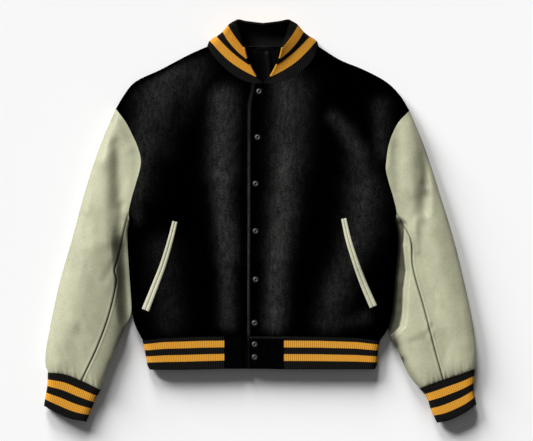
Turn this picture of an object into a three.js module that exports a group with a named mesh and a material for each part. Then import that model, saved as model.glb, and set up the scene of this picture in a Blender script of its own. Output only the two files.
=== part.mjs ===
import * as THREE from 'three';

// A varsity jacket laid flat on its back, face up, in millimetres with +Z up and the collar towards +Y.
// X = 0 and Y = 0 are the middle of its outline. "right" and "left" are the wearer's, so the jacket's
// right half lies at negative X. The garment is two sheets, an upper and a lower one, that meet in a
// roll along its shoulders, sides and sleeve edges.

const table = (columns, rows) => {
  const names = columns.split(' ');
  return rows.map((row) => Object.fromEntries(names.map((name, i) => [name, row[i]])));
};
const places = (rows) => table('x y', rows);

// Driving sizes
const WALL = { wool: 2.5, leather: 1.8, knit: 3.8, tab: 3.4, lining: 1 };
const SEAM_HALF = 0.2; // each piece stops this far short of its seam line
const LAP = 0.8; // clearance under a front that laps over another
const SLIT = 1; // between the body's side and the sleeve's inner edge
const ROLL = { edge: 11, reach: 44, underReach: 15 }; // height of a rolled edge, and how far in it swells
const FULL = { body: 22, sleeve: 27 }; // height of the upper sheet
const RIB_ROLL = { edge: 7.5, reach: 17, top: 16.5 }; // cuffs and hem are flatter
const BLOUSE = 34; // the cloth swells over a rib within this length
const RIB_RISE = 0.9; // how far a rib stands out of the knit
const PLACKET = { x: -27, under: 10, curve: 8, curveFrom: 214 }; // edge of the top front, and what lies under it
const TAB = { inner: -74, outer: 49 }; // where the hem's rib knit ends on each side

// Outline of each half, from the collar outwards and down
const HALF = {
  right: {
    side: -1,
    shoulder: places([[-108, 359], [-144, 343], [-203, 312], [-259, 284], [-282, 255], [-296, 231]]),
    armhole: places([[-296, 231], [-275, 203], [-261, 176], [-250, 151], [-244, 126], [-246, 107], [-253, 82], [-264, 44], [-269.5, 18], [-268, 0]]),
    body: places([[-268, 0], [-271.5, -22], [-272, -50], [-269, -100], [-265.5, -150], [-262.5, -188], [-256, -214], [-241, -244]]),
    neck: places([[4, 283], [-14, 283], [-34, 288.5], [-59, 303], [-80, 321], [-98, 342], [-108, 359]]),
    rib: places([[-241, -244], [-234, -276], [-230, -297], [-226, -304]]),
    hem: places([[-241, -244], [-200, -239], [-120, -236], [0, -235]]),
    ribEnd: places([[-226, -304], [-150, -304], [-74, -302], [0, -302]]),
    sleeveOuter: places([[-296, 231], [-326, 161], [-359, 63], [-389, -48], [-410, -120], [-435, -237], [-440, -269], [-440, -294], [-435, -310]]),
    sleeveInner: places([[-268, 0], [-271.5, -22], [-272, -50], [-269, -100], [-265.5, -150], [-265, -188], [-279, -221], [-299, -266], [-318, -315], [-328, -345]]),
    frontSeam: places([[-270, 16], [-279, -21], [-292, -79], [-298, -102], [-294, -118], [-308, -187], [-333, -257], [-366, -327]]),
    cuffTop: places([[-435, -310], [-400, -314], [-366, -327], [-328, -345]]),
    cuffOuter: places([[-435, -310], [-436, -336], [-440, -359], [-443, -378]]),
    cuffInner: places([[-328, -345], [-340, -368], [-350, -393], [-357, -410]]),
    cuffEnd: places([[-443, -378], [-420, -391], [-390, -404], [-357, -410]]),
  },
  left: {
    side: 1,
    shoulder: places([[119, 359], [164, 331], [210, 312], [260, 285], [287, 258], [306, 227]]),
    armhole: places([[306, 227], [283, 203], [271, 180], [263, 157], [258, 124], [257, 107], [262, 84], [273, 46], [279, 20], [278, 0]]),
    body: places([[278, 0], [282, -22], [283, -50], [279, -95], [274.5, -150], [270.5, -188], [261, -221], [245, -245]]),
    neck: places([[8, 283], [26, 283], [48, 288], [77, 301.5], [98, 320], [112.5, 340], [119, 359]]),
    rib: places([[245, -245], [241, -268], [239, -293], [235, -303]]),
    hem: places([[245, -245], [200, -239], [120, -236], [0, -235]]),
    ribEnd: places([[235, -303], [150, -303], [49, -303], [0, -302]]),
    sleeveOuter: places([[306, 227], [336, 155], [371, 48], [396, -34], [414, -106], [438, -220], [442, -257], [442, -280], [440, -302]]),
    sleeveInner: places([[278, 0], [282, -22], [283, -50], [279, -95], [274.5, -150], [270.5, -188], [263.5, -217], [271, -243], [285, -272], [306, -317], [327, -342]]),
    frontSeam: places([[280, 16], [296, -12], [309, -43], [312, -91], [336, -179], [360, -272], [375, -324]]),
    cuffTop: places([[440, -302], [414, -312], [375, -325], [327, -342]]),
    cuffOuter: places([[440, -302], [438, -321], [437, -348], [443, -375]]),
    cuffInner: places([[327, -342], [342, -360], [351, -386], [363, -412.6]]),
    cuffEnd: places([[443, -375], [420, -392], [387, -407.5], [363, -412.6]]),
  },
};

// Largest folds of the upper sheet: ridges stand up and hollows go down, each along a line
const FOLDS = table('fromX fromY toX toY rise width', [
  [-185, 306, -226, 208, 7, 34],
  [-226, 208, -240, 44, 5, 20],
  [-123, 337, -160, 224, -4, 16],
  [-160, 224, -232, 20, -4, 16],
  [-78, 249, -70, 44, 6, 24],
  [-70, 44, -62, -200, 5, 26],
  [-134, 160, -128, -190, -4, 24],
  [-201, -70, -190, -200, 4, 40],
  [50, 280, 56, 85, 5, 22],
  [56, 85, 32, -200, 4, 22],
  [98, 240, 108, -170, -4, 24],
  [133, 259, 212, 136, 6, 26],
  [212, 136, 219, 23, 7, 40],
  [219, 23, 150, -200, 5, 30],
  [246, 238, 250, 180, 5, 20],
  [222, 200, 234, 130, -4, 10],
  [-302, 205, -326, 124, 6, 20],
  [-326, 124, -325, -40, 4, 22],
  [-296, 157, -288, 30, -4, 12],
  [-352, -60, -372, -200, 4, 24],
  [297, 192, 300, 70, 5, 18],
  [338, 157, 334, 20, -5, 14],
  [352, -20, 392, -210, 4, 26],
]);

// Sections across the collar band, from its front end (0) round the side fold (0.5) to the middle of
// the back (1). Each gives the stripes' edges and the free edge, x out from the collar's middle.
const COLLAR = {
  x: 6,
  backSeam: 361,
  heights: [0, 0.25, 0.43, 0.79, 1],
  ribs: 74,
  seamHalf: 1, // its seam turns with the neck, so it keeps a little further off
  sections: [
    { at: 0, edges: [[16, 296, 24], [29.7, 320.3, 28], [40.8, 355.6, 40], [37, 359, 33]] },
    { at: 0.125, edges: [[42.6, 310, 24], [47.5, 333, 28], [49.1, 366.2, 40], [43, 371, 37]] },
    { at: 0.25, edges: [[67.5, 326.7, 24], [64.4, 346.7, 28], [57.1, 377.1, 40], [48, 384.6, 40]] },
    { at: 0.375, edges: [[88.4, 346.2, 24], [80, 361.9, 28], [64.6, 388.3, 40], [51, 395, 42]] },
    { at: 0.475, edges: [[104.6, 364.4, 22], [91.9, 374.6, 26], [70, 397.7, 40], [54, 403, 42.5]] },
    { at: 0.5, edges: [[109.1, 369.9, 12], [94.7, 377.9, 17], [71.3, 400.1, 35], [57.5, 409, 43]] },
    { at: 0.525, edges: [[105, 373, 2.5], [91, 382, 8], [69, 403, 30], [51, 412, 43.5]] },
    { at: 0.72, edges: [[60, 380, 0], [55, 393.5, 4], [44, 407.5, 29], [36, 409, 44]] },
    { at: 1, edges: [[0, 380, 0], [0, 392.5, 4], [0, 405.5, 29], [0, 404, 44]] },
  ],
};

const SNAPS = { radius: 7, height: 3.6, lift: 0.35, sides: 12 };
const SNAP_PLACES = places([
  [-2, 266], [-5, 172], [-9, 77], [-9, -20], [-9, -119], [-11, -208], [-11, -252], [-11, -278],
]);
const POCKET = { topWidth: 11, endWidth: 16, groove: 0.6, lift: 0.55, thick: 2.4, steps: 10 };
const POCKET_LINES = {
  right: places([[-174, 0], [-184, -40], [-199, -90], [-214, -129], [-235, -182]]),
  left: places([[171, 6], [180, -35], [193, -77], [210, -124], [232, -175]]),
};
const LINING = { right: -46, left: 58, top: 354, bottom: 150, lift: 0.4, step: 34 };
const LOOP = { x: 11, y: 356, width: 38, height: 6, thick: 1.2, lift: 0.5 };

const FINISH = {
  wool: new THREE.MeshStandardMaterial({ color: 0x111112, roughness: 0.95, metalness: 0 }),
  leather: new THREE.MeshStandardMaterial({ color: 0xd9d9b9, roughness: 0.5, metalness: 0 }),
  knit: new THREE.MeshStandardMaterial({ color: 0x1a1a1c, roughness: 0.9, metalness: 0 }),
  lining: new THREE.MeshStandardMaterial({ color: 0x202022, roughness: 0.4, metalness: 0 }),
  snap: new THREE.MeshStandardMaterial({ color: 0x55565a, roughness: 0.35, metalness: 0.9 }),
};

const { clamp, lerp, smoothstep } = THREE.MathUtils;
const jacket = new THREE.Group();

// Paths in plan, each a function of a share from 0 to 1
const PATH_DIVISIONS = 400;
function smooth(rows) {
  const line = new THREE.CatmullRomCurve3(rows.map(({ x, y }) => new THREE.Vector3(x, y, 0)), false, 'centripetal');
  line.arcLengthDivisions = PATH_DIVISIONS;
  return (share) => line.getPointAt(clamp(share, 0, 1));
}

const backwards = (path) => (share) => path(1 - share);
const straight = (from, to) => (share) => new THREE.Vector3().lerpVectors(from, to, share);
const chain = (first, second, split) => (share) =>
  (share < split ? first(share / split) : second((share - split) / (1 - split)));
const stretch = (path, from, to) => (share) => path(lerp(from, to, share));

// A patch of plan between four paths: low and high run along u, near and far along v
function patch(low, high, near, far) {
  const corners = [low(0), low(1), high(0), high(1)];
  return (u, v) => new THREE.Vector3()
    .addScaledVector(low(u), 1 - v)
    .addScaledVector(high(u), v)
    .addScaledVector(near(v), 1 - u)
    .addScaledVector(far(v), u)
    .addScaledVector(corners[0], -(1 - u) * (1 - v))
    .addScaledVector(corners[1], -u * (1 - v))
    .addScaledVector(corners[2], -(1 - u) * v)
    .addScaledVector(corners[3], -u * v);
}

const TRIES = 400;
function nearestShare(path, point) {
  const tries = Array.from({ length: TRIES + 1 }, (_, i) => i / TRIES);
  return tries.reduce((best, share) =>
    (path(share).distanceTo(point) < path(best).distanceTo(point) ? share : best));
}

function heightOf(rows) {
  const inOrder = [...rows].sort((a, b) => a.x - b.x);
  return (x) => {
    const passed = inOrder.filter((row) => row.x < x).length;
    const next = clamp(passed, 1, inOrder.length - 1);
    const [a, b] = [inOrder[next - 1], inOrder[next]];
    return lerp(a.y, b.y, (x - a.x) / (b.x - a.x));
  };
}

const hemY = heightOf([...HALF.right.hem, ...HALF.left.hem.slice(0, -1)]);
const ribEndY = heightOf([...HALF.right.ribEnd, ...HALF.left.ribEnd.slice(0, -1)]);
const alongX = (height, from, to) => (share) => {
  const x = lerp(from, to, share);
  return new THREE.Vector3(x, height(x), 0);
};

// Distance in plan to lines that are kept as short straight pieces
function pieces(path, count) {
  const points = Array.from({ length: count + 1 }, (_, i) => path(i / count));
  return points.slice(1).map((to, i) => ({ from: points[i], to }));
}

function distanceTo(lines, x, y) {
  let best = Infinity;
  for (const { from, to } of lines) {
    const [dx, dy] = [to.x - from.x, to.y - from.y];
    const share = clamp(((x - from.x) * dx + (y - from.y) * dy) / (dx * dx + dy * dy), 0, 1);
    best = Math.min(best, (from.x + share * dx - x) ** 2 + (from.y + share * dy - y) ** 2);
  }
  return Math.sqrt(best);
}

const PATHS = Object.fromEntries(Object.entries(HALF).map(([name, rows]) => {
  const paths = Object.fromEntries(Object.entries(rows)
    .filter(([, value]) => Array.isArray(value))
    .map(([key, value]) => [key, smooth(value)]));
  const inner = paths.sleeveInner;
  paths.sleeveInner = (share) => {
    const point = inner(share);
    point.x += rows.side * SLIT * smoothstep(share, 0, 0.03);
    return point;
  };
  return [name, { ...paths, side: rows.side }];
}));

const ROLLED = ['shoulder', 'body', 'rib', 'sleeveOuter', 'sleeveInner', 'cuffOuter', 'cuffInner'];
const EDGES = Object.values(PATHS).flatMap((paths) => ROLLED.flatMap((key) => pieces(paths[key], 120)));
const HEM_SIDES = [-241, 245];
const HEM_LINE = pieces(alongX(hemY, ...HEM_SIDES), 120);
const CUFF_LINES = Object.values(PATHS).flatMap((paths) => pieces(paths.cuffTop, 60));

const swell = (share) => Math.sqrt(1 - (1 - clamp(share, 0, 1)) ** 2);

// Outer height of the upper sheet. clearOfRib is 0 on a rib and 1 where the cloth has swelled out.
function upperHeight(x, y, clearOfRib) {
  const folds = FOLDS.reduce((sum, fold) => {
    const line = [{ from: { x: fold.fromX, y: fold.fromY }, to: { x: fold.toX, y: fold.toY } }];
    return sum + fold.rise * Math.exp(-((distanceTo(line, x, y) / fold.width) ** 2));
  }, 0);
  const full = lerp(FULL.body, FULL.sleeve, smoothstep(Math.abs(x), 240, 330)) + folds;
  const top = lerp(RIB_ROLL.top, full, swell(clearOfRib));
  const edge = lerp(RIB_ROLL.edge, ROLL.edge, clearOfRib);
  const reach = lerp(RIB_ROLL.reach, ROLL.reach, clearOfRib);
  return lerp(edge, top, swell(distanceTo(EDGES, x, y) / reach));
}

function lowerHeight(x, y, clearOfRib) {
  const edge = lerp(RIB_ROLL.edge, ROLL.edge, clearOfRib);
  return edge * (1 - swell(distanceTo(EDGES, x, y) / ROLL.underReach));
}

const clearOf = (lines) => (x, y) => clamp(distanceTo(lines, x, y) / BLOUSE, 0, 1);
const clearOfHem = clearOf(HEM_LINE);
const clearOfCuffs = clearOf(CUFF_LINES);
const onRib = () => 0;

const raised = (plan, height, clear) => (u, v) => {
  const point = plan(u, v);
  point.z = height(point.x, point.y, clear(point.x, point.y));
  return point;
};

// Shares along a length, from distances kept at its two ends and even steps between them
function shares(length, atStart, step, atEnd) {
  const [first, last] = [atStart.at(-1), length - atEnd.at(-1)];
  const count = Math.max(1, Math.round((last - first) / step));
  const middle = Array.from({ length: count - 1 }, (_, i) => lerp(first, last, (i + 1) / count));
  const end = [...atEnd].reverse().map((distance) => length - distance);
  return [...atStart, ...middle, ...end].map((distance) => distance / length);
}

const joined = (first, second, split) => [
  ...first.map((share) => share * split),
  ...second.slice(1).map((share) => split + share * (1 - split)),
];

// A closed wall: an outer surface, the same surface moved in by its thickness, and a rim between.
// looks gives a place on it, [u, v, 1] where its outer face looks up there or [u, v, -1] where down.
function wall({
  name, finish, surface, us, vs, thickness, looks, rise = () => 0, ring = false, seamHalf = SEAM_HALF,
}) {
  const step = 1e-4;
  const across = (u, v) => {
    const alongU = surface(Math.min(u + step, us.at(-1)), v).sub(surface(Math.max(u - step, us[0]), v));
    const [vLow, vHigh] = ring ? [v - step, v + step] : [Math.max(v - step, vs[0]), Math.min(v + step, vs.at(-1))];
    return alongU.cross(surface(u, vHigh).sub(surface(u, vLow))).normalize();
  };
  const turn = Math.sign(across(looks[0], looks[1]).z) * looks[2];
  const grid = us.map((u, i) => vs.map((v, j) => {
    const point = surface(u, v);
    const normal = across(u, v).multiplyScalar(turn);
    return {
      point,
      normal,
      outer: point.clone().addScaledVector(normal, rise(u, v, i, j, point)),
      inner: point.clone().addScaledVector(normal, -thickness),
    };
  }));
  const [lastU, lastV] = [us.length - 1, vs.length - 1];
  const fromEdge = (line, neighbours) => line.map((cell, k) => {
    const [before, after] = [line[Math.max(k - 1, 0)], line[Math.min(k + 1, line.length - 1)]];
    const along = new THREE.Vector3().subVectors(after.point, before.point);
    const inward = along.cross(cell.normal).normalize();
    const towards = new THREE.Vector3().subVectors(neighbours[k].point, cell.point);
    return { cell, move: inward.multiplyScalar(seamHalf * Math.sign(inward.dot(towards))) };
  });
  const column = (j) => grid.map((row) => row[j]);
  const moves = [
    ...fromEdge(grid[0], grid[1]),
    ...fromEdge(grid[lastU], grid[lastU - 1]),
    ...(ring ? [] : fromEdge(column(0), column(1))),
    ...(ring ? [] : fromEdge(column(lastV), column(lastV - 1))),
  ];
  for (const { cell, move } of moves) {
    cell.outer.add(move);
    cell.inner.add(move);
  }
  const columns = vs.length;
  const points = ['outer', 'inner'].flatMap((side) => grid.flatMap((row) => row.map((cell) => cell[side])));
  const inside = grid.length * columns;
  const at = (i, j) => i * columns + (j % columns);
  const faces = [];
  const quad = (a, b, c, d) => faces.push(a, b, c, a, c, d);
  for (let i = 0; i < lastU; i += 1) {
    for (let j = 0; j < (ring ? columns : lastV); j += 1) {
      const [a, b, c, d] = [at(i, j), at(i + 1, j), at(i + 1, j + 1), at(i, j + 1)];
      quad(a, b, c, d);
      quad(inside + d, inside + c, inside + b, inside + a);
    }
  }
  const rim = (a, b) => quad(b, a, inside + a, inside + b);
  for (let j = 0; j < (ring ? columns : lastV); j += 1) {
    rim(at(0, j + 1), at(0, j));
    rim(at(lastU, j), at(lastU, j + 1));
  }
  for (let i = 0; i < lastU && !ring; i += 1) {
    rim(at(i, 0), at(i + 1, 0));
    rim(at(i + 1, lastV), at(i, lastV));
  }
  return solid(name, finish, points, faces);
}

function solid(name, finish, points, faces) {
  const volume = faces.reduce((sum, _, i) => (i % 3 ? sum
    : sum + points[faces[i]].dot(new THREE.Vector3().crossVectors(points[faces[i + 1]], points[faces[i + 2]]))), 0);
  const geometry = new THREE.BufferGeometry().setFromPoints(points);
  geometry.setIndex(volume > 0 ? faces : [...faces].reverse());
  geometry.computeVertexNormals();
  const mesh = new THREE.Mesh(geometry, finish);
  mesh.name = name;
  jacket.add(mesh);
  return mesh;
}

// Distances from a rolled edge at which its curve is drawn, on the upper and the lower sheet
const UPPER_STEPS = [0, 1.5, 6.7, 15.7, 29, 44];
const LOWER_STEPS = [0, 0.9, 3.5, 7.5, 15];
const RIB_STEPS = [0, 1.2, 5, 12, 22, 34];
const ARM_LENGTH = 240;
const SIDE_LENGTH = 246;
const MIDDLE = [44, 196]; // the armhole's middle stretch, drawn alike on both sheets
const armShares = (steps) => {
  const start = steps.filter((distance) => distance < MIDDLE[0]);
  return shares(ARM_LENGTH, [...start, MIDDLE[0]], 38, [...start, MIDDLE[0]]);
};
const ARM_UPPER = armShares(UPPER_STEPS);
const ARM_LOWER = armShares(LOWER_STEPS);
const UNDERARM_SPLIT = 0.5;
const sideRows = (arm) => joined(
  shares(SIDE_LENGTH, RIB_STEPS, 42, [0]),
  arm,
  UNDERARM_SPLIT,
);
const outsideOf = (paths) => chain(backwards(paths.body), backwards(paths.armhole), UNDERARM_SPLIT);

// Fronts
function placketEdge(y) {
  return PLACKET.x + PLACKET.curve * smoothstep(y, PLACKET.curveFrom, 284) ** 2;
}

const UNDER_DROP = [-13, -4]; // the under front sinks between these distances from the edge over it
function underLap(x, y, thickness) {
  return (thickness + LAP) * smoothstep(x - placketEdge(y), ...UNDER_DROP);
}

const NECK_LAP = { neck: 0.1, share: 0.12 }; // where a front's neck edge leaves the straight lap at the centre

function frontPlan(paths, centreX) {
  const centre = (share) => {
    const y = lerp(hemY(0), 283, share);
    return new THREE.Vector3(centreX(y), y, 0);
  };
  const neckStart = centre(1);
  const neckPath = chain(
    straight(neckStart, paths.neck(NECK_LAP.neck)),
    stretch(paths.neck, NECK_LAP.neck, 1),
    NECK_LAP.share,
  );
  const top = chain(neckPath, paths.shoulder, 0.5);
  const sideX = paths.body(1).x;
  const hem = (share) => {
    const x = lerp(centreX(hemY(0)), sideX, share);
    return new THREE.Vector3(x, hemY(x), 0);
  };
  return patch(hem, top, centre, outsideOf(paths));
}

const HALF_WIDTH = 132;
const FRONT_STEPS = { centre: 23, outer: 46 };
const acrossFront = (centreSteps) => joined(
  shares(HALF_WIDTH, centreSteps, FRONT_STEPS.centre, [0]),
  shares(HALF_WIDTH, [0], FRONT_STEPS.outer, UPPER_STEPS),
  0.5,
);
const FRONT_COLUMNS = {
  right: acrossFront([0, 14, 28, 34, 38.5, 43, 47, 51, 62]),
  left: acrossFront([0, 22]),
};
const fronts = {};
{
  const plan = frontPlan(PATHS.right, () => PLACKET.under);
  const over = raised(plan, upperHeight, clearOfHem);
  fronts.right = wall({
    name: 'front_right',
    finish: FINISH.wool,
    surface: (u, v) => {
      const point = over(u, v);
      point.z -= underLap(point.x, point.y, WALL.wool);
      return point;
    },
    us: FRONT_COLUMNS.right,
    vs: sideRows(ARM_UPPER),
    thickness: WALL.wool,
    looks: [0.5, 0.5, 1],
  });
}
fronts.left = wall({
  name: 'front_left',
  finish: FINISH.wool,
  surface: raised(frontPlan(PATHS.left, placketEdge), upperHeight, clearOfHem),
  us: FRONT_COLUMNS.left,
  vs: sideRows(ARM_UPPER),
  thickness: WALL.wool,
  looks: [0.5, 0.5, 1],
});

const BACK_GRID = { width: 560, step: 76 };

// Back: its grid runs across from side to side, and its neck lies along a straight seam
{
  const [right, left] = [PATHS.right, PATHS.left];
  const hem = alongX(hemY, ...HEM_SIDES);
  const necks = straight(right.neck(1), left.neck(1));
  const top = chain(chain(backwards(right.shoulder), necks, 0.5), left.shoulder, 2 / 3);
  wall({
    name: 'back',
    finish: FINISH.wool,
    surface: raised(patch(hem, top, outsideOf(right), outsideOf(left)), lowerHeight, clearOfHem),
    us: shares(BACK_GRID.width, LOWER_STEPS, BACK_GRID.step, LOWER_STEPS),
    vs: sideRows(ARM_LOWER),
    thickness: WALL.wool,
    looks: [0.5, 0.5, -1],
  });
}

// Sleeves: an upper piece that wraps round the outer edge to a seam underneath, and an under piece
// that runs from the front seam round the inner edge to the same seam
const SEAM_ROW = 2; // the front seam starts this many rows of the armhole above the underarm
const SLEEVE_GRID = { length: 460, step: 43 };
const SLEEVE_ROWS = shares(SLEEVE_GRID.length, [0], SLEEVE_GRID.step, RIB_STEPS);
const ARM_DRAW = 1000; // opens the first rows out where the armhole runs on into the sleeve's inner edge
for (const [half, paths] of Object.entries(PATHS)) {
  const frontShare = ARM_UPPER.at(-1 - SEAM_ROW);
  const backShare = ARM_LOWER[LOWER_STEPS.length - 1];
  const seamStart = paths.armhole(frontShare);
  const seamEnd = paths.frontSeam(1);
  const cuffShare = nearestShare(paths.cuffTop, seamEnd);
  const frontSeam = (share) => paths.frontSeam(share)
    .addScaledVector(new THREE.Vector3().subVectors(seamStart, paths.frontSeam(0)), (1 - share) ** 6)
    .addScaledVector(new THREE.Vector3().subVectors(paths.cuffTop(cuffShare), seamEnd), share ** 6);
  const drawnOut = (plan) => (u, v) => {
    const point = plan(u, v);
    point.x += paths.side * ARM_DRAW * u * (1 - u) ** 4 * v * v * (1 - v);
    return point;
  };
  const sheet = (plan, height) => raised(drawnOut(plan), height, clearOfCuffs);
  const outerTop = sheet(patch(
    paths.sleeveOuter,
    frontSeam,
    stretch(paths.armhole, 0, frontShare),
    stretch(paths.cuffTop, 0, cuffShare),
  ), upperHeight);
  const innerTop = raised(patch(
    frontSeam,
    paths.sleeveInner,
    stretch(paths.armhole, frontShare, 1),
    stretch(paths.cuffTop, cuffShare, 1),
  ), upperHeight, clearOfCuffs);
  const below = sheet(patch(paths.sleeveOuter, paths.sleeveInner, paths.armhole, paths.cuffTop), lowerHeight);
  const topColumns = ARM_UPPER.slice(0, ARM_UPPER.length - SEAM_ROW).map((share) => share / frontShare);
  const wrapColumns = ARM_LOWER.filter((share) => share > 0 && share <= backShare).map((share) => share / backShare);
  wall({
    name: `sleeve_${half}_top`,
    finish: FINISH.leather,
    surface: (u, v) => (v < 0 ? below(u, -v * backShare) : outerTop(u, v)),
    us: SLEEVE_ROWS,
    vs: [...wrapColumns.reverse().map((share) => -share), ...topColumns],
    thickness: WALL.leather,
    looks: [0.5, 0.5, 1],
  });
  const stripColumns = [0, 0.3, 0.57, 0.76, 0.9, 0.97, 1];
  const underColumns = ARM_LOWER.filter((share) => share >= backShare && share < 1);
  wall({
    name: `sleeve_${half}_under`,
    finish: FINISH.leather,
    surface: (u, v) => (v <= 1 ? innerTop(u, v) : below(u, 2 - v)),
    us: SLEEVE_ROWS,
    vs: [...stripColumns, ...underColumns.reverse().map((share) => 2 - share)],
    thickness: WALL.leather,
    looks: [0.5, 0.3, 1],
  });
}

// Rib knit: every other point of a run of shares stands out
const ribShares = (count) => Array.from({ length: 2 * count + 1 }, (_, i) => i / (2 * count));

// Cuffs: a ring across each cuff, its upper half from the outer edge to the inner one, then back below
const CUFF = { ribs: 16, rows: [0, 0.34, 0.67, 1], below: [0.012, 0.07, 0.3, 0.7, 0.93, 0.988] };
for (const [half, paths] of Object.entries(PATHS)) {
  const plan = patch(paths.cuffOuter, paths.cuffInner, paths.cuffTop, paths.cuffEnd);
  const upper = raised(plan, upperHeight, onRib);
  const lower = raised(plan, lowerHeight, onRib);
  const round = (v) => (v + 2) % 2;
  wall({
    name: `cuff_${half}`,
    finish: FINISH.knit,
    surface: (u, v) => (round(v) <= 1 ? upper(u, round(v)) : lower(u, 2 - round(v))),
    us: CUFF.rows,
    vs: [...ribShares(CUFF.ribs), ...CUFF.below.map((share) => 1 + share)],
    thickness: WALL.knit,
    looks: [0.5, 0.5, 1],
    rise: (u, v, i, j) => (v <= 1 && j % 2 ? RIB_RISE : 0),
    ring: true,
  });
}

// Hem rib: one strip from the wearer's right tab, round the side, across the back and round to the left
const HEM = {
  ribs: { right: 28, left: 30 },
  rows: [0, 0.34, 0.67, 1],
  below: { width: 475, sides: [0, 1, 4, 8, 15], step: 80 },
};
const hemEnd = (x) => straight(
  new THREE.Vector3(x, hemY(x), 0),
  new THREE.Vector3(x, ribEndY(x), 0),
);
{
  const [right, left] = [PATHS.right, PATHS.left];
  const [rightX, leftX] = [right.rib(0).x, left.rib(0).x];
  const [rightEnd, leftEnd] = [right.rib(1).x, left.rib(1).x];
  const front = (tabX, paths) => raised(patch(
    hemEnd(tabX),
    paths.rib,
    alongX(hemY, tabX, paths.rib(0).x),
    alongX(ribEndY, tabX, paths.rib(1).x),
  ), upperHeight, onRib);
  const frontRight = front(TAB.inner, right);
  const frontLeft = front(TAB.outer, left);
  const below = raised(patch(
    right.rib,
    left.rib,
    alongX(hemY, rightX, leftX),
    alongX(ribEndY, rightEnd, leftEnd),
  ), lowerHeight, onRib);
  const runs = { right: ribShares(HEM.ribs.right), left: ribShares(HEM.ribs.left) };
  const { width, sides, step } = HEM.below;
  const underRun = shares(width, sides, step, sides).slice(1, -1);
  wall({
    name: 'hem_rib',
    finish: FINISH.knit,
    surface: (u, v) => {
      if (v <= 1) return frontRight(u, v);
      return v < 2 ? below(u, v - 1) : frontLeft(u, 3 - v);
    },
    us: HEM.rows,
    vs: [
      ...runs.right,
      ...underRun.map((share) => 1 + share),
      ...[...runs.left].reverse().map((share) => 3 - share),
    ],
    thickness: WALL.knit,
    looks: [0.5, 0.5, 1],
    rise: (u, v, i, j) => {
      if (v <= 1) return j % 2 ? RIB_RISE : 0;
      return v >= 2 && Math.round((3 - v) * 2 * HEM.ribs.left) % 2 ? RIB_RISE : 0;
    },
  });
}

// Tabs at the hem: the left one laps over the right
const tabPlan = (fromX, toX) => patch(
  alongX(hemY, fromX, toX),
  alongX(ribEndY, fromX, toX),
  hemEnd(fromX),
  hemEnd(toX),
);
const TAB_GRID = { length: 67, row: 17, column: 13 };
const TAB_ROWS = shares(TAB_GRID.length, [0], TAB_GRID.row, [0]);
const tabs = {};
{
  const over = raised(tabPlan(TAB.inner, PLACKET.under), upperHeight, onRib);
  tabs.right = wall({
    name: 'hem_tab_right',
    finish: FINISH.wool,
    surface: (u, v) => {
      const point = over(u, v);
      point.z -= underLap(point.x, point.y, WALL.tab);
      return point;
    },
    us: shares(PLACKET.under - TAB.inner, [0, 17, 32, 35, 38, 41, 45], TAB_GRID.column, [0]),
    vs: TAB_ROWS,
    thickness: WALL.tab,
    looks: [0.5, 0.5, 1],
  });
}
tabs.left = wall({
  name: 'hem_tab_left',
  finish: FINISH.wool,
  surface: raised(tabPlan(PLACKET.x, TAB.outer), upperHeight, onRib),
  us: shares(TAB.outer - PLACKET.x, [0], TAB_GRID.column, [0]),
  vs: TAB_ROWS,
  thickness: WALL.tab,
  looks: [0.5, 0.5, 1],
});

// Collar: one band from the right front end round the back to the left front end
function through(rows, place) {
  const line = rows.map(({ at, edges }) => ({ at, point: new THREE.Vector3(...edges[place]) }));
  const slope = (i) => {
    const [before, after] = [line[Math.max(i - 1, 0)], line[Math.min(i + 1, line.length - 1)]];
    return new THREE.Vector3().subVectors(after.point, before.point).divideScalar(after.at - before.at);
  };
  return (at) => {
    const next = clamp(line.findIndex((row) => row.at >= at), 1, line.length - 1);
    const [a, b] = [line[next - 1], line[next]];
    const gap = b.at - a.at;
    const t = (at - a.at) / gap;
    return new THREE.Vector3()
      .addScaledVector(a.point, 2 * t ** 3 - 3 * t * t + 1)
      .addScaledVector(slope(next - 1), gap * (t ** 3 - 2 * t * t + t))
      .addScaledVector(b.point, 3 * t * t - 2 * t ** 3)
      .addScaledVector(slope(next), gap * (t ** 3 - t * t));
  };
}

// The band is sewn to the fronts' neck edges, so it follows the same straight pieces as they do
const NECK_POINTS = Object.fromEntries(Object.entries(PATHS).map(([half, paths]) => {
  const onNeck = FRONT_COLUMNS[half]
    .map((u) => (2 * u - NECK_LAP.share) / (1 - NECK_LAP.share))
    .filter((share) => share > 0.02 && share <= 1)
    .map((share) => lerp(NECK_LAP.neck, 1, share));
  const points = [0, ...onNeck].map((share) => {
    const point = paths.neck(share);
    point.z = upperHeight(point.x, point.y, 1);
    return point;
  });
  return [half, points];
}));

function alongPoints(points, share) {
  const lengths = points.slice(1).map((point, i) => point.distanceTo(points[i]));
  let rest = share * lengths.reduce((sum, length) => sum + length, 0);
  const piece = lengths.findIndex((length) => {
    if (rest <= length + 1e-9) return true;
    rest -= length;
    return false;
  });
  return straight(points[piece], points[piece + 1])(rest / lengths[piece]);
}

function collarSeam(paths, at) {
  const fold = 0.5;
  if (at <= fold) return alongPoints(NECK_POINTS[paths.side < 0 ? 'right' : 'left'], at / fold);
  const middle = new THREE.Vector3(COLLAR.x, COLLAR.backSeam, 0);
  const point = straight(paths.neck(1), middle)((at - fold) / (1 - fold));
  point.z = lowerHeight(point.x, point.y, 1);
  return point;
}

const collarEdges = COLLAR.sections[0].edges.map((_, place) => through(COLLAR.sections, place));

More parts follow.
